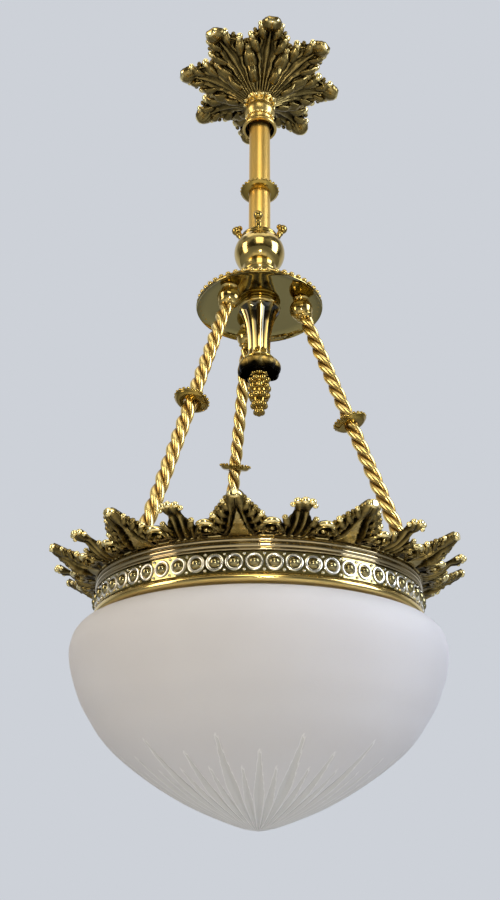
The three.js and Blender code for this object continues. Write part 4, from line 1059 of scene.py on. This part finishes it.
def galleryReeds():
    inner, outer, split, top = band["wallIn"], band["wallOut"], band["split"], band["top"]
    profile = [(inner, split), (outer, split), (outer, 21.8), (135, 21.9)]
    for low, high in ((22.0, 24.2), (24.5, 28.6), (28.9, 31.9)):
        profile += arc((134.7, low), (134.7, high), -1.2 if high - low > 4 else -0.9, 9) + [(134.7, high)]
    profile += [(134.4, top), (inner, top), (inner, 26.5), (121.5, 26.5), (121.5, 23.5), (inner, 23.5)]
    return meshFrom("galleryReeds", [turned(profile, 360)])


addPiece("gallery_band_reeds", galleryReeds(), paleBrass, "pendant", ["gallery_band"])
addPiece("gallery_band_roll", galleryRoll(), rollBrass, "pendant", ())

frieze = {
    "count": 60, "firstTurn": math.radians(0.2), "face": 134.3, "back": 133.35, "ringRadius": 5.45,
    "ringHalf": 1.2, "ringRise": 1.4, "beadRadius": 4.2, "beadRise": 4.1,
}


def friezeStrip():
    profile = [(frieze["back"], 6.6), (frieze["face"], 6.6), (frieze["face"], 21.4), (frieze["back"], 21.4)]
    return meshFrom("friezeStrip", [turned(profile, 360)])


def friezeUnit():
    face, middle = frieze["face"], (band["friezeFoot"] + band["friezeTop"]) / 2
    radius, half, rise = frieze["ringRadius"], frieze["ringHalf"], frieze["ringRise"]
    beadRadius, beadRise = frieze["beadRadius"], frieze["beadRise"]
    over, up = ([reach * k / 5 for k in range(6)] for reach in (math.pi, math.pi / 2))
    section = [(radius + half * math.cos(t), rise * math.sin(t) ** 0.5) for t in over]
    bead = [(beadRadius * math.cos(t), beadRise * math.sin(t)) for t in up]

    def place(x, y, z):
        return upright(face + z, x, middle + y)

    ring = turned([(r, z - 0.4) for r, z in section] + [(radius, -0.5)], 28, place=place)
    domed = [(r if k < 5 else 0, z - 0.4) for k, (r, z) in enumerate(bead)]
    dome = turned(domed + [(0, -0.5), (beadRadius, -0.5)], 24, place=place)
    pitch = tau * face / frieze["count"]
    darts = [ball((pitch / 2, up * 5.8, 0.1), 1.2, place, 0.9, 8, 5) for up in (-1, 1)]
    return [meshFrom("friezeRing", [ring, *darts]), meshFrom("friezeBead", [dome])]


ringUnit, beadUnit = friezeUnit()
rings = ringOf("friezeRings", ringUnit, frieze["count"], frieze["firstTurn"], silveryBrass)
beads = ringOf("friezeBeads", beadUnit, frieze["count"], frieze["firstTurn"], polishedBrass)
addPiece("bead_frieze_strip", friezeStrip(), mirrorBrass, "pendant", ["bead_frieze"])
addPiece("bead_frieze_rings", rings, silveryBrass, "pendant", ())
addPiece("bead_frieze_beads", beads, beadBrass, "pendant", ())
print("gallery made")


# coronet of cast leaves and scrolls

crest = {
    "count": 11,
    "firstTurn": math.radians(-82),
    "footRadius": 134.3,
    "footHeight": 32.3,
    "reach": 41.7,
    "rise": 19.9,
    "widest": 176.2,
    "length": 46.2,
    "broadLength": 44.0,
    "narrowLength": 37.0,
    "lean": math.radians(26),
    "step": tau / 11,
}


def onCrest(across, along, out):
    # across and along the leaf's face, and out of it towards a viewer below
    share = max(0.0, along / crest["length"])
    ease = min(1, max(0, along / 5 + 0.15))
    radius = crest["footRadius"] + crest["reach"] * share**0.94 + out * math.sin(crest["lean"])
    height = crest["footHeight"] + crest["rise"] * share**1.12 - out * math.cos(crest["lean"]) * ease
    return at(min(radius, crest["widest"]), across / crest["footRadius"], max(height, crest["footHeight"]))


def eased(rows, share):
    # a smooth value between rows of (share, value)
    for (a, low), (b, high) in zip(rows, rows[1:]):
        if share <= b:
            u = max(0.0, (share - a) / (b - a))
            return low + (high - low) * u * u * (3 - 2 * u)
    return rows[-1][1]


def castSheet(length, halves, reliefOf, place, rows=46, columns=33, thick=1.6):
    # a cast leaf: a closed sheet whose outline follows halves and whose face follows reliefOf(side, share)
    front, back, relief = [], [], []
    for i in range(rows + 1):
        share = i / rows
        half = eased(halves, share)
        for j in range(columns):
            side = 2 * j / (columns - 1) - 1
            # tone is the leaf's painted light
            depth, tone = reliefOf(side, share, side * half)
            edge = max(0.0, (abs(side) - 0.9) / 0.1)
            front.append(place(side * half, share * length, depth - 0.9 * edge * edge))
            back.append(place(side * half, share * length, -thick + 0.5 * edge))
            relief.append(tone)
    faces = []
    start = len(front)
    for i in range(rows):
        for j in range(columns - 1):
            a, b = i * columns + j, i * columns + j + 1
            c, d = b + columns, a + columns
            faces += [(a, b, c, d), (start + d, start + c, start + b, start + a)]
        for j in (0, columns - 1):
            a, b = i * columns + j, (i + 1) * columns + j
            faces.append((a, b, start + b, start + a))
    for i in (0, rows):
        for j in range(columns - 1):
            a, b = i * columns + j, i * columns + j + 1
            faces.append((a, b, start + b, start + a))
    # the back of the sheet gets dark painted shade
    return front + back, faces, relief + [0.1] * start


def ridge(distance, width):
    # a rounded rib in section, 1 on its line and 0 beyond its width
    u = min(1.0, abs(distance) / width)
    return math.sqrt(1 - u * u)


def ribPath(tip, stations):
    # up to tip, by (share of the way out, distance back, height) at each station
    return [(tip[0] * share, tip[1] - back, out) for share, back, out in stations]


def mirrored(make):
    # the parts that make(side) gives for both halves of a leaf
    return [part for side in (-1, 1) for part in make(side)]


def broadLeaf(place):
    halves = [
        (0, 13.0), (0.12, 16.5), (0.28, 17.4), (0.4, 16.6), (0.5, 14.6), (0.6, 11.8), (0.66, 9.4),
        (0.75, 7.8), (0.82, 6.6), (0.88, 5.6), (0.94, 4.6), (0.98, 3.6), (1, 2.6),
    ]

    def relief(side, share, across):
        reach = abs(across)
        fan = eased([(0, 9.0), (0.14, 6.2), (0.3, 3.6), (0.5, 1.6), (0.62, 0.3), (1, 0.0)], share)
        if reach < fan:
            return 0.7 + 0.5 * ridge(reach, fan), 0.5
        fold = (reach - fan) / 4.6 - 0.15
        crease = 0.5 - 0.5 * math.cos(tau * fold)
        level = crease**0.7
        rise = 0.6 + 1.8 * math.sin(math.pi * min(1.0, share * 1.25))
        depth = -0.4 + 2.7 * level * rise * (1 - 0.35 * abs(side))
        # painted light: painted shade in the creases, lighter tone on the folds
        tone = 0.02 + 0.3 * level * level
        # the hood gets a painted highlight on its top and stays dark below it as painted shade
        hood = max(0.0, (share - 0.6) / 0.4)
        if hood > 0:
            groove = 0.5 + 0.5 * math.cos(reach * 2.1)
            arch = (4.6 - 1.2 * groove * (1 - hood)) * math.sin(hood * math.pi * 0.8)
            depth += arch * (1 - 0.6 * side * side)
            tips = [(0, 0.0), (0.4, 0.06), (0.8, 0.2), (0.9, 0.5), (0.96, 1.0), (1, 1.0)]
            tone = tone * (1 - hood) + eased(tips, hood)
        return depth, min(1.0, tone)

    # the tip knob carries a painted highlight
    parts = [
        castSheet(crest["broadLength"], halves, relief, place, 60, 49),
        ball((0, 43.2, 1.8), 3.3, place, 1.0, 14, 9, 0.95),
    ]

    def half(side):
        made = []
        # lobe knobs carry painted highlights, their ribs and the small knobs painted shade
        lobes = (
            (17.0, 10.0, 2.4, 0.2), (17.4, 17.4, 2.4, 0.3), (14.2, 24.0, 2.5, 0.85), (10.6, 29.8, 2.1, 0.4),
            (6.9, 36.0, 1.9, 0.85),
        )
        for across, along, size, tone in lobes:
            made.append(ball((side * across, along, 1.0), size, place, 1.0, 10, 7, tone))
            path = ribPath((side * across, along), [(0.5, 8.5, 1.4), (0.8, 4.2, 3.0), (1, 0, 1.2)])
            made.append(finger(path, [1.2, 2.3, 1.7], [1.2, 2.0, 1.4], place, 10, 5, relief=(0.0, 0.34)))
        for across, along in ((16.4, 20.6), (12.6, 27.0), (8.9, 33.0), (5.2, 39.4)):
            made.append(ball((side * across, along, 0.9), 1.5, place, 1.0, 8, 6, 0.3))
        return made

    return parts + mirrored(half)


def narrowLeaf(place):
    halves = [
        (0, 15.0), (0.12, 13.6), (0.28, 11.4), (0.42, 9.2), (0.54, 7.0), (0.64, 5.2), (0.72, 4.6),
        (0.8, 4.8), (0.9, 5.4), (1, 4.8),
    ]

    def relief(side, share, across):
        twist = across - 3.0 * math.sin(share * 2.6)
        level = (0.5 + 0.5 * math.cos(twist * tau / 5.2)) ** 0.8
        depth = -0.3 + (1.4 + 2.6 * math.sin(math.pi * min(1.0, share * 1.3))) * level * (1 - 0.4 * abs(side))
        # painted light: painted shade in the twisted creases, lighter tone on the folds
        tone = 0.02 + 0.34 * level * level
        # the head gets a painted highlight on its top
        head = max(0.0, (share - 0.72) / 0.28)
        if head > 0:
            depth += 3.0 * math.sin(head * math.pi * 0.8) * (1 - 0.4 * side * side)
            tone = tone * (1 - head) + eased([(0, 0.0), (0.6, 0.05), (0.85, 0.2), (1, 0.9)], head)
        return depth, tone

    # the top knob carries a painted highlight
    parts = [
        castSheet(crest["narrowLength"], halves, relief, place, 48, 41),
        ball((0, 38.6, 2.2), 2.6, place, 1.0, 12, 8, 1.0),
    ]

    def half(side):
        made = []
        # knob tones are painted highlights, brightest at the head
        for across, along, size, tone in (
            (4.1, 37.2, 2.3, 1.0), (6.3, 33.6, 1.9, 0.8), (9.6, 21.4, 2.0, 0.6), (12.6, 13.4, 2.2, 0.7),
        ):
            made.append(ball((side * across, along, 1.4), size, place, 1.0, 12, 8, tone))
        for across, along in ((9.6, 21.4), (12.6, 13.4)):
            path = ribPath((side * across, along), [(0.6, 9, 1.2), (0.86, 4, 2.6), (1, 0, 1.2)])
            made.append(finger(path, [1.3, 2.3, 1.7], [1.2, 2.0, 1.3], place, relief=(0.0, 0.4)))
        return made

    return parts + mirrored(half)


def scrollPair(place):
    def half(side):
        line = []
        for i in range(40):
            u = i / 39
            turn = math.radians(215 - 430 * u)
            reach = 8.8 - 6.4 * u**0.85
            line.append(Vector((side * (21.2 + reach * math.cos(turn)), 11.4 + reach * math.sin(turn))))
        start = [Vector((side * 12.0, 0.4)), Vector((side * 12.4, 2.4))]
        roll = [
            (side * 15.4, 16.2, 2.2), (side * 18.4, 19.4, 3.2), (side * 22.0, 20.4, 3.4),
            (side * 26.4, 17.4, 2.4),
        ]
        back = [(side * 20.6, 0.6, -0.6), (side * 20.6, 9, -0.8), (side * 20.6, 16.4, -0.8)]
        root = [(side * 23.6, 0.6, 0.8), (side * 27.6, 3.6, 1.8), (side * 30.2, 8.5, 1.0)]
        # relief values are painted light: a highlight on the roll, painted shade on the sheet behind and the
        # ribbon's back
        return [
            ribbon(start + line, 1.3, 5.0, -1.0, place, (0.0, 0.5)),
            ball((side * 21.4, 11.2, 1.6), 2.1, place, 1.1, 10, 6, 0.5),
            finger(roll, [1.6, 2.3, 1.6], [1.6, 2.2, 1.6], place, 12, 6, relief=(0.6, 1.5)),
            finger(back, [9.5, 9.0, 6.5], [0.8, 0.8, 0.8], place, 12, 6, relief=(0.0, 0.12)),
            finger(root, [2.4, 2.4, 1.3], [1.4, 1.8, 1.2], place, relief=(0.05, 0.6)),
        ]

    return mirrored(half)


def casting():
    halfStep = crest["footRadius"] * crest["step"] / 2

    def beside(across, along, out):
        return onCrest(across + halfStep, along, out)

    return meshFrom("crestCasting", broadLeaf(onCrest) + scrollPair(onCrest) + narrowLeaf(beside))


def crestRail():
    profile = [(133.1, 32.3), (135.6, 32.3)] + arc((136, 32.4), (136.2, 34.6), -0.7, 6)
    profile += [(135.8, 34.8), (133.1, 34.8)]
    verts, faces, _ = turned(profile, 360)
    return meshFrom("crestRail", [(verts, faces, [0.6] * len(verts))])


leaves = ringOf("crestLeaves", casting(), crest["count"], crest["firstTurn"], castBrass)
coronet = joinMeshes("coronet", [leaves, crestRail()])
castings = [f"coronet_casting_{k + 1}" for k in range(crest["count"])]
addPiece("coronet_leaves", coronet, castBrass, "pendant", castings, crease=60)
print("coronet made:", len(coronet.polygons), "faces")


# ceiling rose: cup, screw and cast leaves

rose = {
    "count": 8,
    "firstTurn": math.radians(-67.5),
    "cupRadius": 34,
    "cupFoot": 543.5,
    "cupTop": 602,
    "bore": 11.4,
    "knobs": 14,
    "knobRadius": 2.3,
    "beads": 20,
    "beadRadius": 1.5,
    "leafLength": 80,
    "highest": 616.5,  # no leaf rises above this
}


def roseCup():
    r, foot, height = rose["cupRadius"], rose["cupFoot"], rose["cupTop"] - rose["cupFoot"]

    def spot(share, up):
        return (r * share, foot + height * up)

    profile = [spot(0.447, 0), spot(0.47, 0)]
    profile += arc(spot(0.53, 0.004), spot(0.53, 0.05), -0.5, 6)
    profile += arc(spot(0.49, 0.06), spot(0.39, 0.2), 1.6, 8)
    profile += arc(spot(0.388, 0.2), spot(0.388, 0.26), -0.4, 5)
    profile += arc(spot(0.39, 0.27), spot(0.39, 0.545), -3.0, 18)
    profile += [spot(0.38, 0.55)] + arc(spot(0.385, 0.56), spot(0.45, 0.7), 0.6, 7)
    profile += arc(spot(0.45, 0.708), (r, foot + height), 1.8, 14)
    profile += [(r, foot + height), (r - 1.8, foot + height), (rose["bore"] + 1.8, foot + height * 0.73)]
    profile += [
        (rose["bore"], foot + height * 0.668), (rose["bore"], foot + height * 0.214), spot(0.441, 0.06),
    ]
    # painted shade: black in the bore's lower mouth and darker still on the lip's underside; the rest takes
    # the face colour
    shaded = [radius < 15.1 and h < foot + 14 and k > 20 for k, (radius, h) in enumerate(profile)]
    paintedLight = [0.0 if dark else 0.55 for dark in shaded]
    paintedLight[0] = paintedLight[-1] = paintedLight[-2] = paintedLight[-3] = -0.3
    cupShape = meshFrom("roseCup", [turned(profile, 72, None, None, paintedLight)])
    upper, lower = (0.47 * r, 0, foot + height * 0.64), (0.43 * r, 0, foot + height * 0.245)
    knob = meshFrom("roseKnob", [ball(upper, rose["knobRadius"], upright, 1.0, 10, 7)])
    knobs = ringOf("roseKnobs", knob, rose["knobs"], rose["firstTurn"], polishedBrass)
    bead = meshFrom("roseBead", [ball(lower, rose["beadRadius"], upright, 1.0, 10, 6)])
    beads = ringOf("roseBeads", bead, rose["beads"], rose["firstTurn"], polishedBrass)
    return joinMeshes("roseCup", [cupShape, knobs, beads])


addPiece("rose_cup_turned", roseCup(), shadedBrass, "rose", ["rose_cup"])


def roseMidline():
    middle = [(16.0, 584.6), (26, 592), (37, 599.8), (52.8, 607.2), (66, 610.6), (77, 612), (84, 611)]
    points = smoothLine(middle, 10)
    lengths = [0.0]
    for before, after in zip(points, points[1:]):
        lengths.append(lengths[-1] + (after - before).length)
    return points, lengths


roseLine, roseLengths = roseMidline()


def onRose(across, along, out):
    along = max(0.0, min(along, roseLengths[-1] + 8))
    i = 0
    while i < len(roseLengths) - 2 and roseLengths[i + 1] < along:
        i += 1
    share = (along - roseLengths[i]) / (roseLengths[i + 1] - roseLengths[i])
    spot = roseLine[i].lerp(roseLine[i + 1], share)
    way = (roseLine[i + 1] - roseLine[i]).normalized()
    radius = spot.x + way.y * out
    height = spot.y - way.x * out + 0.009 * across * across * min(1, along / 30)
    return upright(radius, across, min(height, rose["highest"]))


def roseLeaf():
    place = onRose
    halves = [
        (0, 7.0), (0.14, 9.5), (0.24, 14.5), (0.3, 17.0), (0.36, 15.4), (0.44, 20.0), (0.5, 22.6),
        (0.56, 20.0), (0.6, 17.2), (0.66, 19.0), (0.71, 17.0), (0.76, 12.8), (0.82, 11.0),
        (0.9, 10.6), (0.96, 8.4), (1, 5.2),
    ]

    def relief(side, share, across):
        folds = 0.5 + 0.5 * math.cos(tau * 2.5 * side * (1 + 0.12 * math.sin(share * 9)))
        level = folds**0.8
        depth = -1.0 + 4.2 * level * (0.35 + 0.65 * share) * (1 - 0.3 * abs(side))
        # painted light: painted shade in the folds, lighter on their crests
        tone = 0.12 + 0.3 * level * level
        # the hood gets a painted highlight on its top
        hood = max(0.0, (share - 0.76) / 0.24)
        if hood > 0:
            dome = math.sin(hood * math.pi * 0.82) ** 0.8 * (1 - 0.55 * side * side)
            depth = max(depth * (1 - hood), 7.0 * dome)
            tips = [(0, 0.0), (0.5, 0.25), (0.85, 0.35), (0.95, 0.9), (1, 0.9)]
            tone = tone * (1 - hood) + eased(tips, hood)
        return depth, min(1.0, tone)

    parts = [castSheet(rose["leafLength"], halves, relief, place, 72, 57, 1.4)]

    def half(side):
        made = []
        # knob tones are painted highlights, brightest towards the tip; the ribs carry painted shade
        lobes = (
            (16.6, 25, 3.4, 0.25), (22.4, 40, 4.2, 0.5), (18.8, 53.5, 4.0, 1.0), (10.8, 68.5, 3.4, 1.0),
        )
        for across, along, size, tone in lobes:
            made.append(ball((side * across, along, 0.8), size, place, 1.0, 12, 8, tone))
            path = ribPath((side * across, along), [(0.45, 17, 0.6), (0.8, 7, 3.6), (1, 0, 1.4)])
            widths = [size * 0.7, size * 1.3, size * 0.9]
            made.append(finger(path, widths, [1.4, 2.8, 2.0], place, 12, 6, relief=(0.08, 0.5)))
        for across, along, size in ((20.4, 33.6, 2.6), (21.6, 46.6, 2.6), (15.8, 60.4, 2.5)):
            made.append(ball((side * across, along, 1.0), size, place, 1.0, 8, 6, 0.25))
        return made

    return meshFrom("roseLeaf", parts + mirrored(half))


roseLeaves = ringOf("roseLeaves", roseLeaf(), rose["count"], rose["firstTurn"], castBrass)
roseNodes = [f"rose_leaf_{k + 1}" for k in range(rose["count"])]
addPiece("rose_leaves_cast", roseLeaves, castBrass, "rose", roseNodes, crease=60)
print("rose made:", len(roseLeaves.polygons), "faces")


# glass bowl with its cut star

bowl = {"sides": 576, "wall": 4.5, "cutTaper": 0.4, "cutSpacing": 7.5}
bowlOutline = [
    (0, -156), (10, -154.6), (19.5, -151.9), (35, -146.4), (51, -139.9), (68, -131.4), (84, -122),
    (100, -111.2), (114, -100), (124.5, -89), (132.4, -78), (140, -66.3), (145.6, -53.8),
    (150.2, -40.5), (152.4, -28), (151.6, -19.5), (149, -12.4), (143.5, -6.4), (135.5, -2.6),
    (128.5, -1.0),
]
# rays of the star, turns in degrees and the rest in mm
cutKinds = [
    {"turn": -61, "step": 30, "tip": 118, "half": 4.6, "depth": 1.8},
    {"turn": -76, "step": 30, "tip": 107, "half": 4.0, "depth": 1.6},
    {"turn": -68.5, "step": 15, "tip": 93, "half": 3.2, "depth": 1.4},
]


def cutDepth(radius, degrees):
    # how deep the star is cut here: three sizes of ray, each a V that narrows to its tip
    deepest = 0.0
    for kind in cutKinds:
        if radius >= kind["tip"] or radius < 0.5:
            continue
        offset = (degrees - kind["turn"] + kind["step"] / 2) % kind["step"] - kind["step"] / 2
        distance = abs(math.radians(offset) * radius)
        share = radius / kind["tip"]
        half = kind["half"] * min(1, max(0, (1 - share) / bowl["cutTaper"]) ** 0.75)
        half = min(half, radius * math.radians(bowl["cutSpacing"]) * 0.49)
        if distance < half:
            deepest = max(deepest, kind["depth"] * (half / kind["half"]) ** 0.7 * (1 - distance / half))
    return deepest


def glassBowl():
    outer = smoothLine(bowlOutline, 6)
    normals = []
    for i, spot in enumerate(outer):
        way = (outer[min(i + 1, len(outer) - 1)] - outer[max(i - 1, 0)]).normalized()
        normals.append(Vector((way.y, -way.x)))
    neck = [
        (126.4, -0.3), (123.5, 2.3), (123.5, 9.8), (126.4, 10.1), (126.5, 12.6), (126, 13), (119.4, 13),
        (119, 12.6), (119, 0.5),
    ]
    inner = [Vector(p) for p in neck]
    for i in range(len(outer) - 3, 0, -6):
        inner.append(outer[i] - normals[i] * bowl["wall"])
    inner.append(Vector((0, -151.3)))
    sides = bowl["sides"]
    outline = outer + inner
    count = len(outline)
    verts, faces, cuts = [], [], []
    for i in range(sides):
        turn = tau * i / sides
        degrees = math.degrees(turn)
        for j, spot in enumerate(outline):
            cut = cutDepth(spot.x, degrees) if j < len(outer) else 0.0
            place = spot - normals[j] * cut if cut else spot
            verts.append(at(max(place.x, 0), turn, place.y))
            cuts.append(min(1.0, cut * 4))
    for i in range(sides):
        k = (i + 1) % sides
        for j in range(count - 1):
            faces.append((i * count + j, k * count + j, k * count + j + 1, i * count + j + 1))
    return meshFrom("glassBowl", [(verts, faces, cuts)], "cut")


bowlMesh = glassBowl()
addPiece("glass_bowl_cut", bowlMesh, frostedGlass, "bowl", ["glass_bowl"], crease=75)
print("bowl made:", len(bowlMesh.polygons), "faces")


# lamp, holder and the smaller carried-over nodes


def lampGlobe():
    profile = [(0, -1.3), (9, -1.3), (11.2, -4.7), (11.2, -20.3)]
    bulb = [
        (11.6, -20.6), (14, -26), (15.4, -36), (20.1, -49.7), (28.4, -62.4), (30, -72), (26.6, -86),
        (15.6, -97.6), (0, -102),
    ]
    profile += [(max(p.x, 0), p.y) for p in smoothLine(bulb, 6)]
    return meshFrom("lampGlobe", [turned(profile, 48)])


addPiece("lamp_globe", lampGlobe(), pearlLampGlass, "lamp", ["lamp"])

carriedNodes = [
    (zincSteel, ["ceiling_plate", "ceiling_fork", "stem_fork", "knuckle_block", "centre_rod"]),
    (creamMoulding, ["terminal_block"]),
    (cottonBraid, ["inner_flex"]),
    (polishedBrass, ["lamp_bar", "lamp_holder", "rose_screw", *(f"bowl_catch_{k}" for k in (1, 2, 3))]),
]
for finish, names in carriedNodes:
    for name in names:
        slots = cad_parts[name].data.materials
        slots.clear()
        slots.append(finish)
print("nodes finished")


# floor, backdrop, lights and world

room = {"wall": "#CDD1D8", "floorHalf": 16, "floorHeight": -1.7, "floorGlow": 0.8}


def makeStage():
    sheet = bpy.data.meshes.new("floor")
    half, height = room["floorHalf"], room["floorHeight"]
    corners = [(x * half, y * half, height) for x, y in ((-1, -1), (1, -1), (1, 1), (-1, 1))]
    sheet.from_pydata(corners, [], [(0, 1, 2, 3)])
    floor = addObject("floor", sheet)
    paper = plainFinish("paperFloor", "#CDD0D4", "#D3D6DA", 400, 0.9)
    tree = paper.node_tree
    end = tree.nodes["Material Output"]
    path = addNode(tree, "ShaderNodeLightPath")
    seen = addNode(
        tree,
        "ShaderNodeMath",
        {0: path.outputs["Is Camera Ray"], 1: room["floorGlow"]},
        operation="MULTIPLY",
    )
    glow = addNode(tree, "ShaderNodeEmission", {"Color": hexColour(room["wall"])})
    lit = end.inputs["Surface"].links[0].from_socket
    both = addNode(tree, "ShaderNodeMixShader", {0: seen, 1: lit, 2: glow})
    tree.links.new(both.outputs["Shader"], end.inputs["Surface"])  # pale to the eye, shadow kept
    sheet.materials.append(paper)


def besideView(x, y, z):
    # a place beside the object, in the photograph's frame
    return Matrix.Rotation(cameraFit["objectTurn"], 3, "Z") @ Vector((x, y, z))


def addLight(name, spot, target, size, power, colour="#FFFFFF"):
    light = bpy.data.lights.new(name, "AREA")
    light.shape = "RECTANGLE"
    light.size, light.size_y = size
    light.energy = power
    light.color = hexColour(colour)[:3]
    lamp = addObject(name, light)
    lamp.location = spot
    lamp.rotation_euler = (Vector(target) - Vector(spot)).to_track_quat("-Z", "Y").to_euler()
    return lamp


def makeWorld():
    world = bpy.data.worlds.new("room")
    bpy.context.scene.world = world
    world.use_nodes = True
    tree = world.node_tree
    tree.nodes.clear()
    way = addNode(tree, "ShaderNodeTexCoord")
    split = addNode(tree, "ShaderNodeSeparateXYZ", {"Vector": way.outputs["Generated"]})
    height = addNode(
        tree, "ShaderNodeMapRange", {"Value": split.outputs["Z"], "From Min": -1.0, "From Max": 1.0}
    )
    ramp = addNode(tree, "ShaderNodeValToRGB", {"Fac": height})
    ends = [(0.0, "#8E8E88"), (1.0, "#BEBEBA")]
    between = [
        (0.28, "#92928C"), (0.44, "#4A463A"), (0.56, "#58544A"), (0.68, "#74736C"), (0.82, "#A2A29E"),
    ]
    setStops(ramp, ends + between)
    cloud = addNode(
        tree, "ShaderNodeTexNoise", {"Vector": way.outputs["Generated"], "Scale": 2.3, "Detail": 1.0}
    )
    patch = addNode(
        tree,
        "ShaderNodeMapRange",
        {"Value": cloud, "From Min": 0.42, "From Max": 0.58, "To Min": 0.3, "To Max": 1.15},
    )
    light = addNode(tree, "ShaderNodeBackground", {"Color": ramp, "Strength": patch})
    wall = addNode(tree, "ShaderNodeBackground", {"Color": hexColour(room["wall"]), "Strength": 1.0})
    path = addNode(tree, "ShaderNodeLightPath")
    # metal and glass show the pale wall too, where they look back at it
    back = addNode(
        tree,
        "ShaderNodeVectorMath",
        {0: way.outputs["Generated"], 1: besideView(0, 1, 0)},
        operation="DOT_PRODUCT",
    )
    behind = addNode(
        tree, "ShaderNodeMapRange", {"Value": back.outputs["Value"], "From Min": 0.2, "From Max": 0.6}
    )
    gloss = addNode(
        tree,
        "ShaderNodeMath",
        {0: path.outputs["Is Glossy Ray"], 1: path.outputs["Is Transmission Ray"]},
        operation="MAXIMUM",
    )
    shown = addNode(tree, "ShaderNodeMath", {0: gloss, 1: behind}, operation="MULTIPLY")
    pale = addNode(
        tree, "ShaderNodeMath", {0: path.outputs["Is Camera Ray"], 1: shown}, operation="MAXIMUM"
    )
    both = addNode(tree, "ShaderNodeMixShader", {0: pale, 1: light, 2: wall})
    addNode(tree, "ShaderNodeOutputWorld", {"Surface": both})


makeStage()
makeWorld()
cameraSpot = camera.matrix_world.translation
target = (0, 0, galleryFoot + 0.1)
addLight("flash", cameraSpot + Vector((0.05, 0.02, 0.12)), target, (0.08, 0.06), 1.15, "#FFF8EC")
addLight("window", besideView(1.75, -0.65, 0.1), target, (0.9, 1.6), 33, "#E6EEFF")
addLight("bounce", besideView(-1.65, -0.75, -0.1), target, (0.6, 1.6), 14.5, "#FFF0DC")
addLight("doorway", besideView(0.0, -2.0, 0.8), (0, 0, galleryFoot + 0.4), (1.1, 1.4), 12.5, "#FFF6E0")
addLight("ceiling", besideView(0.0, 0.0, 1.6), target, (2.0, 2.0), 10, "#FFFCF6")
addLight("floorGlow", besideView(0.0, -0.5, -1.55), target, (1.6, 1.4), 3.0, "#FFF0D4")
bpy.context.scene.view_settings.view_transform = "Standard"
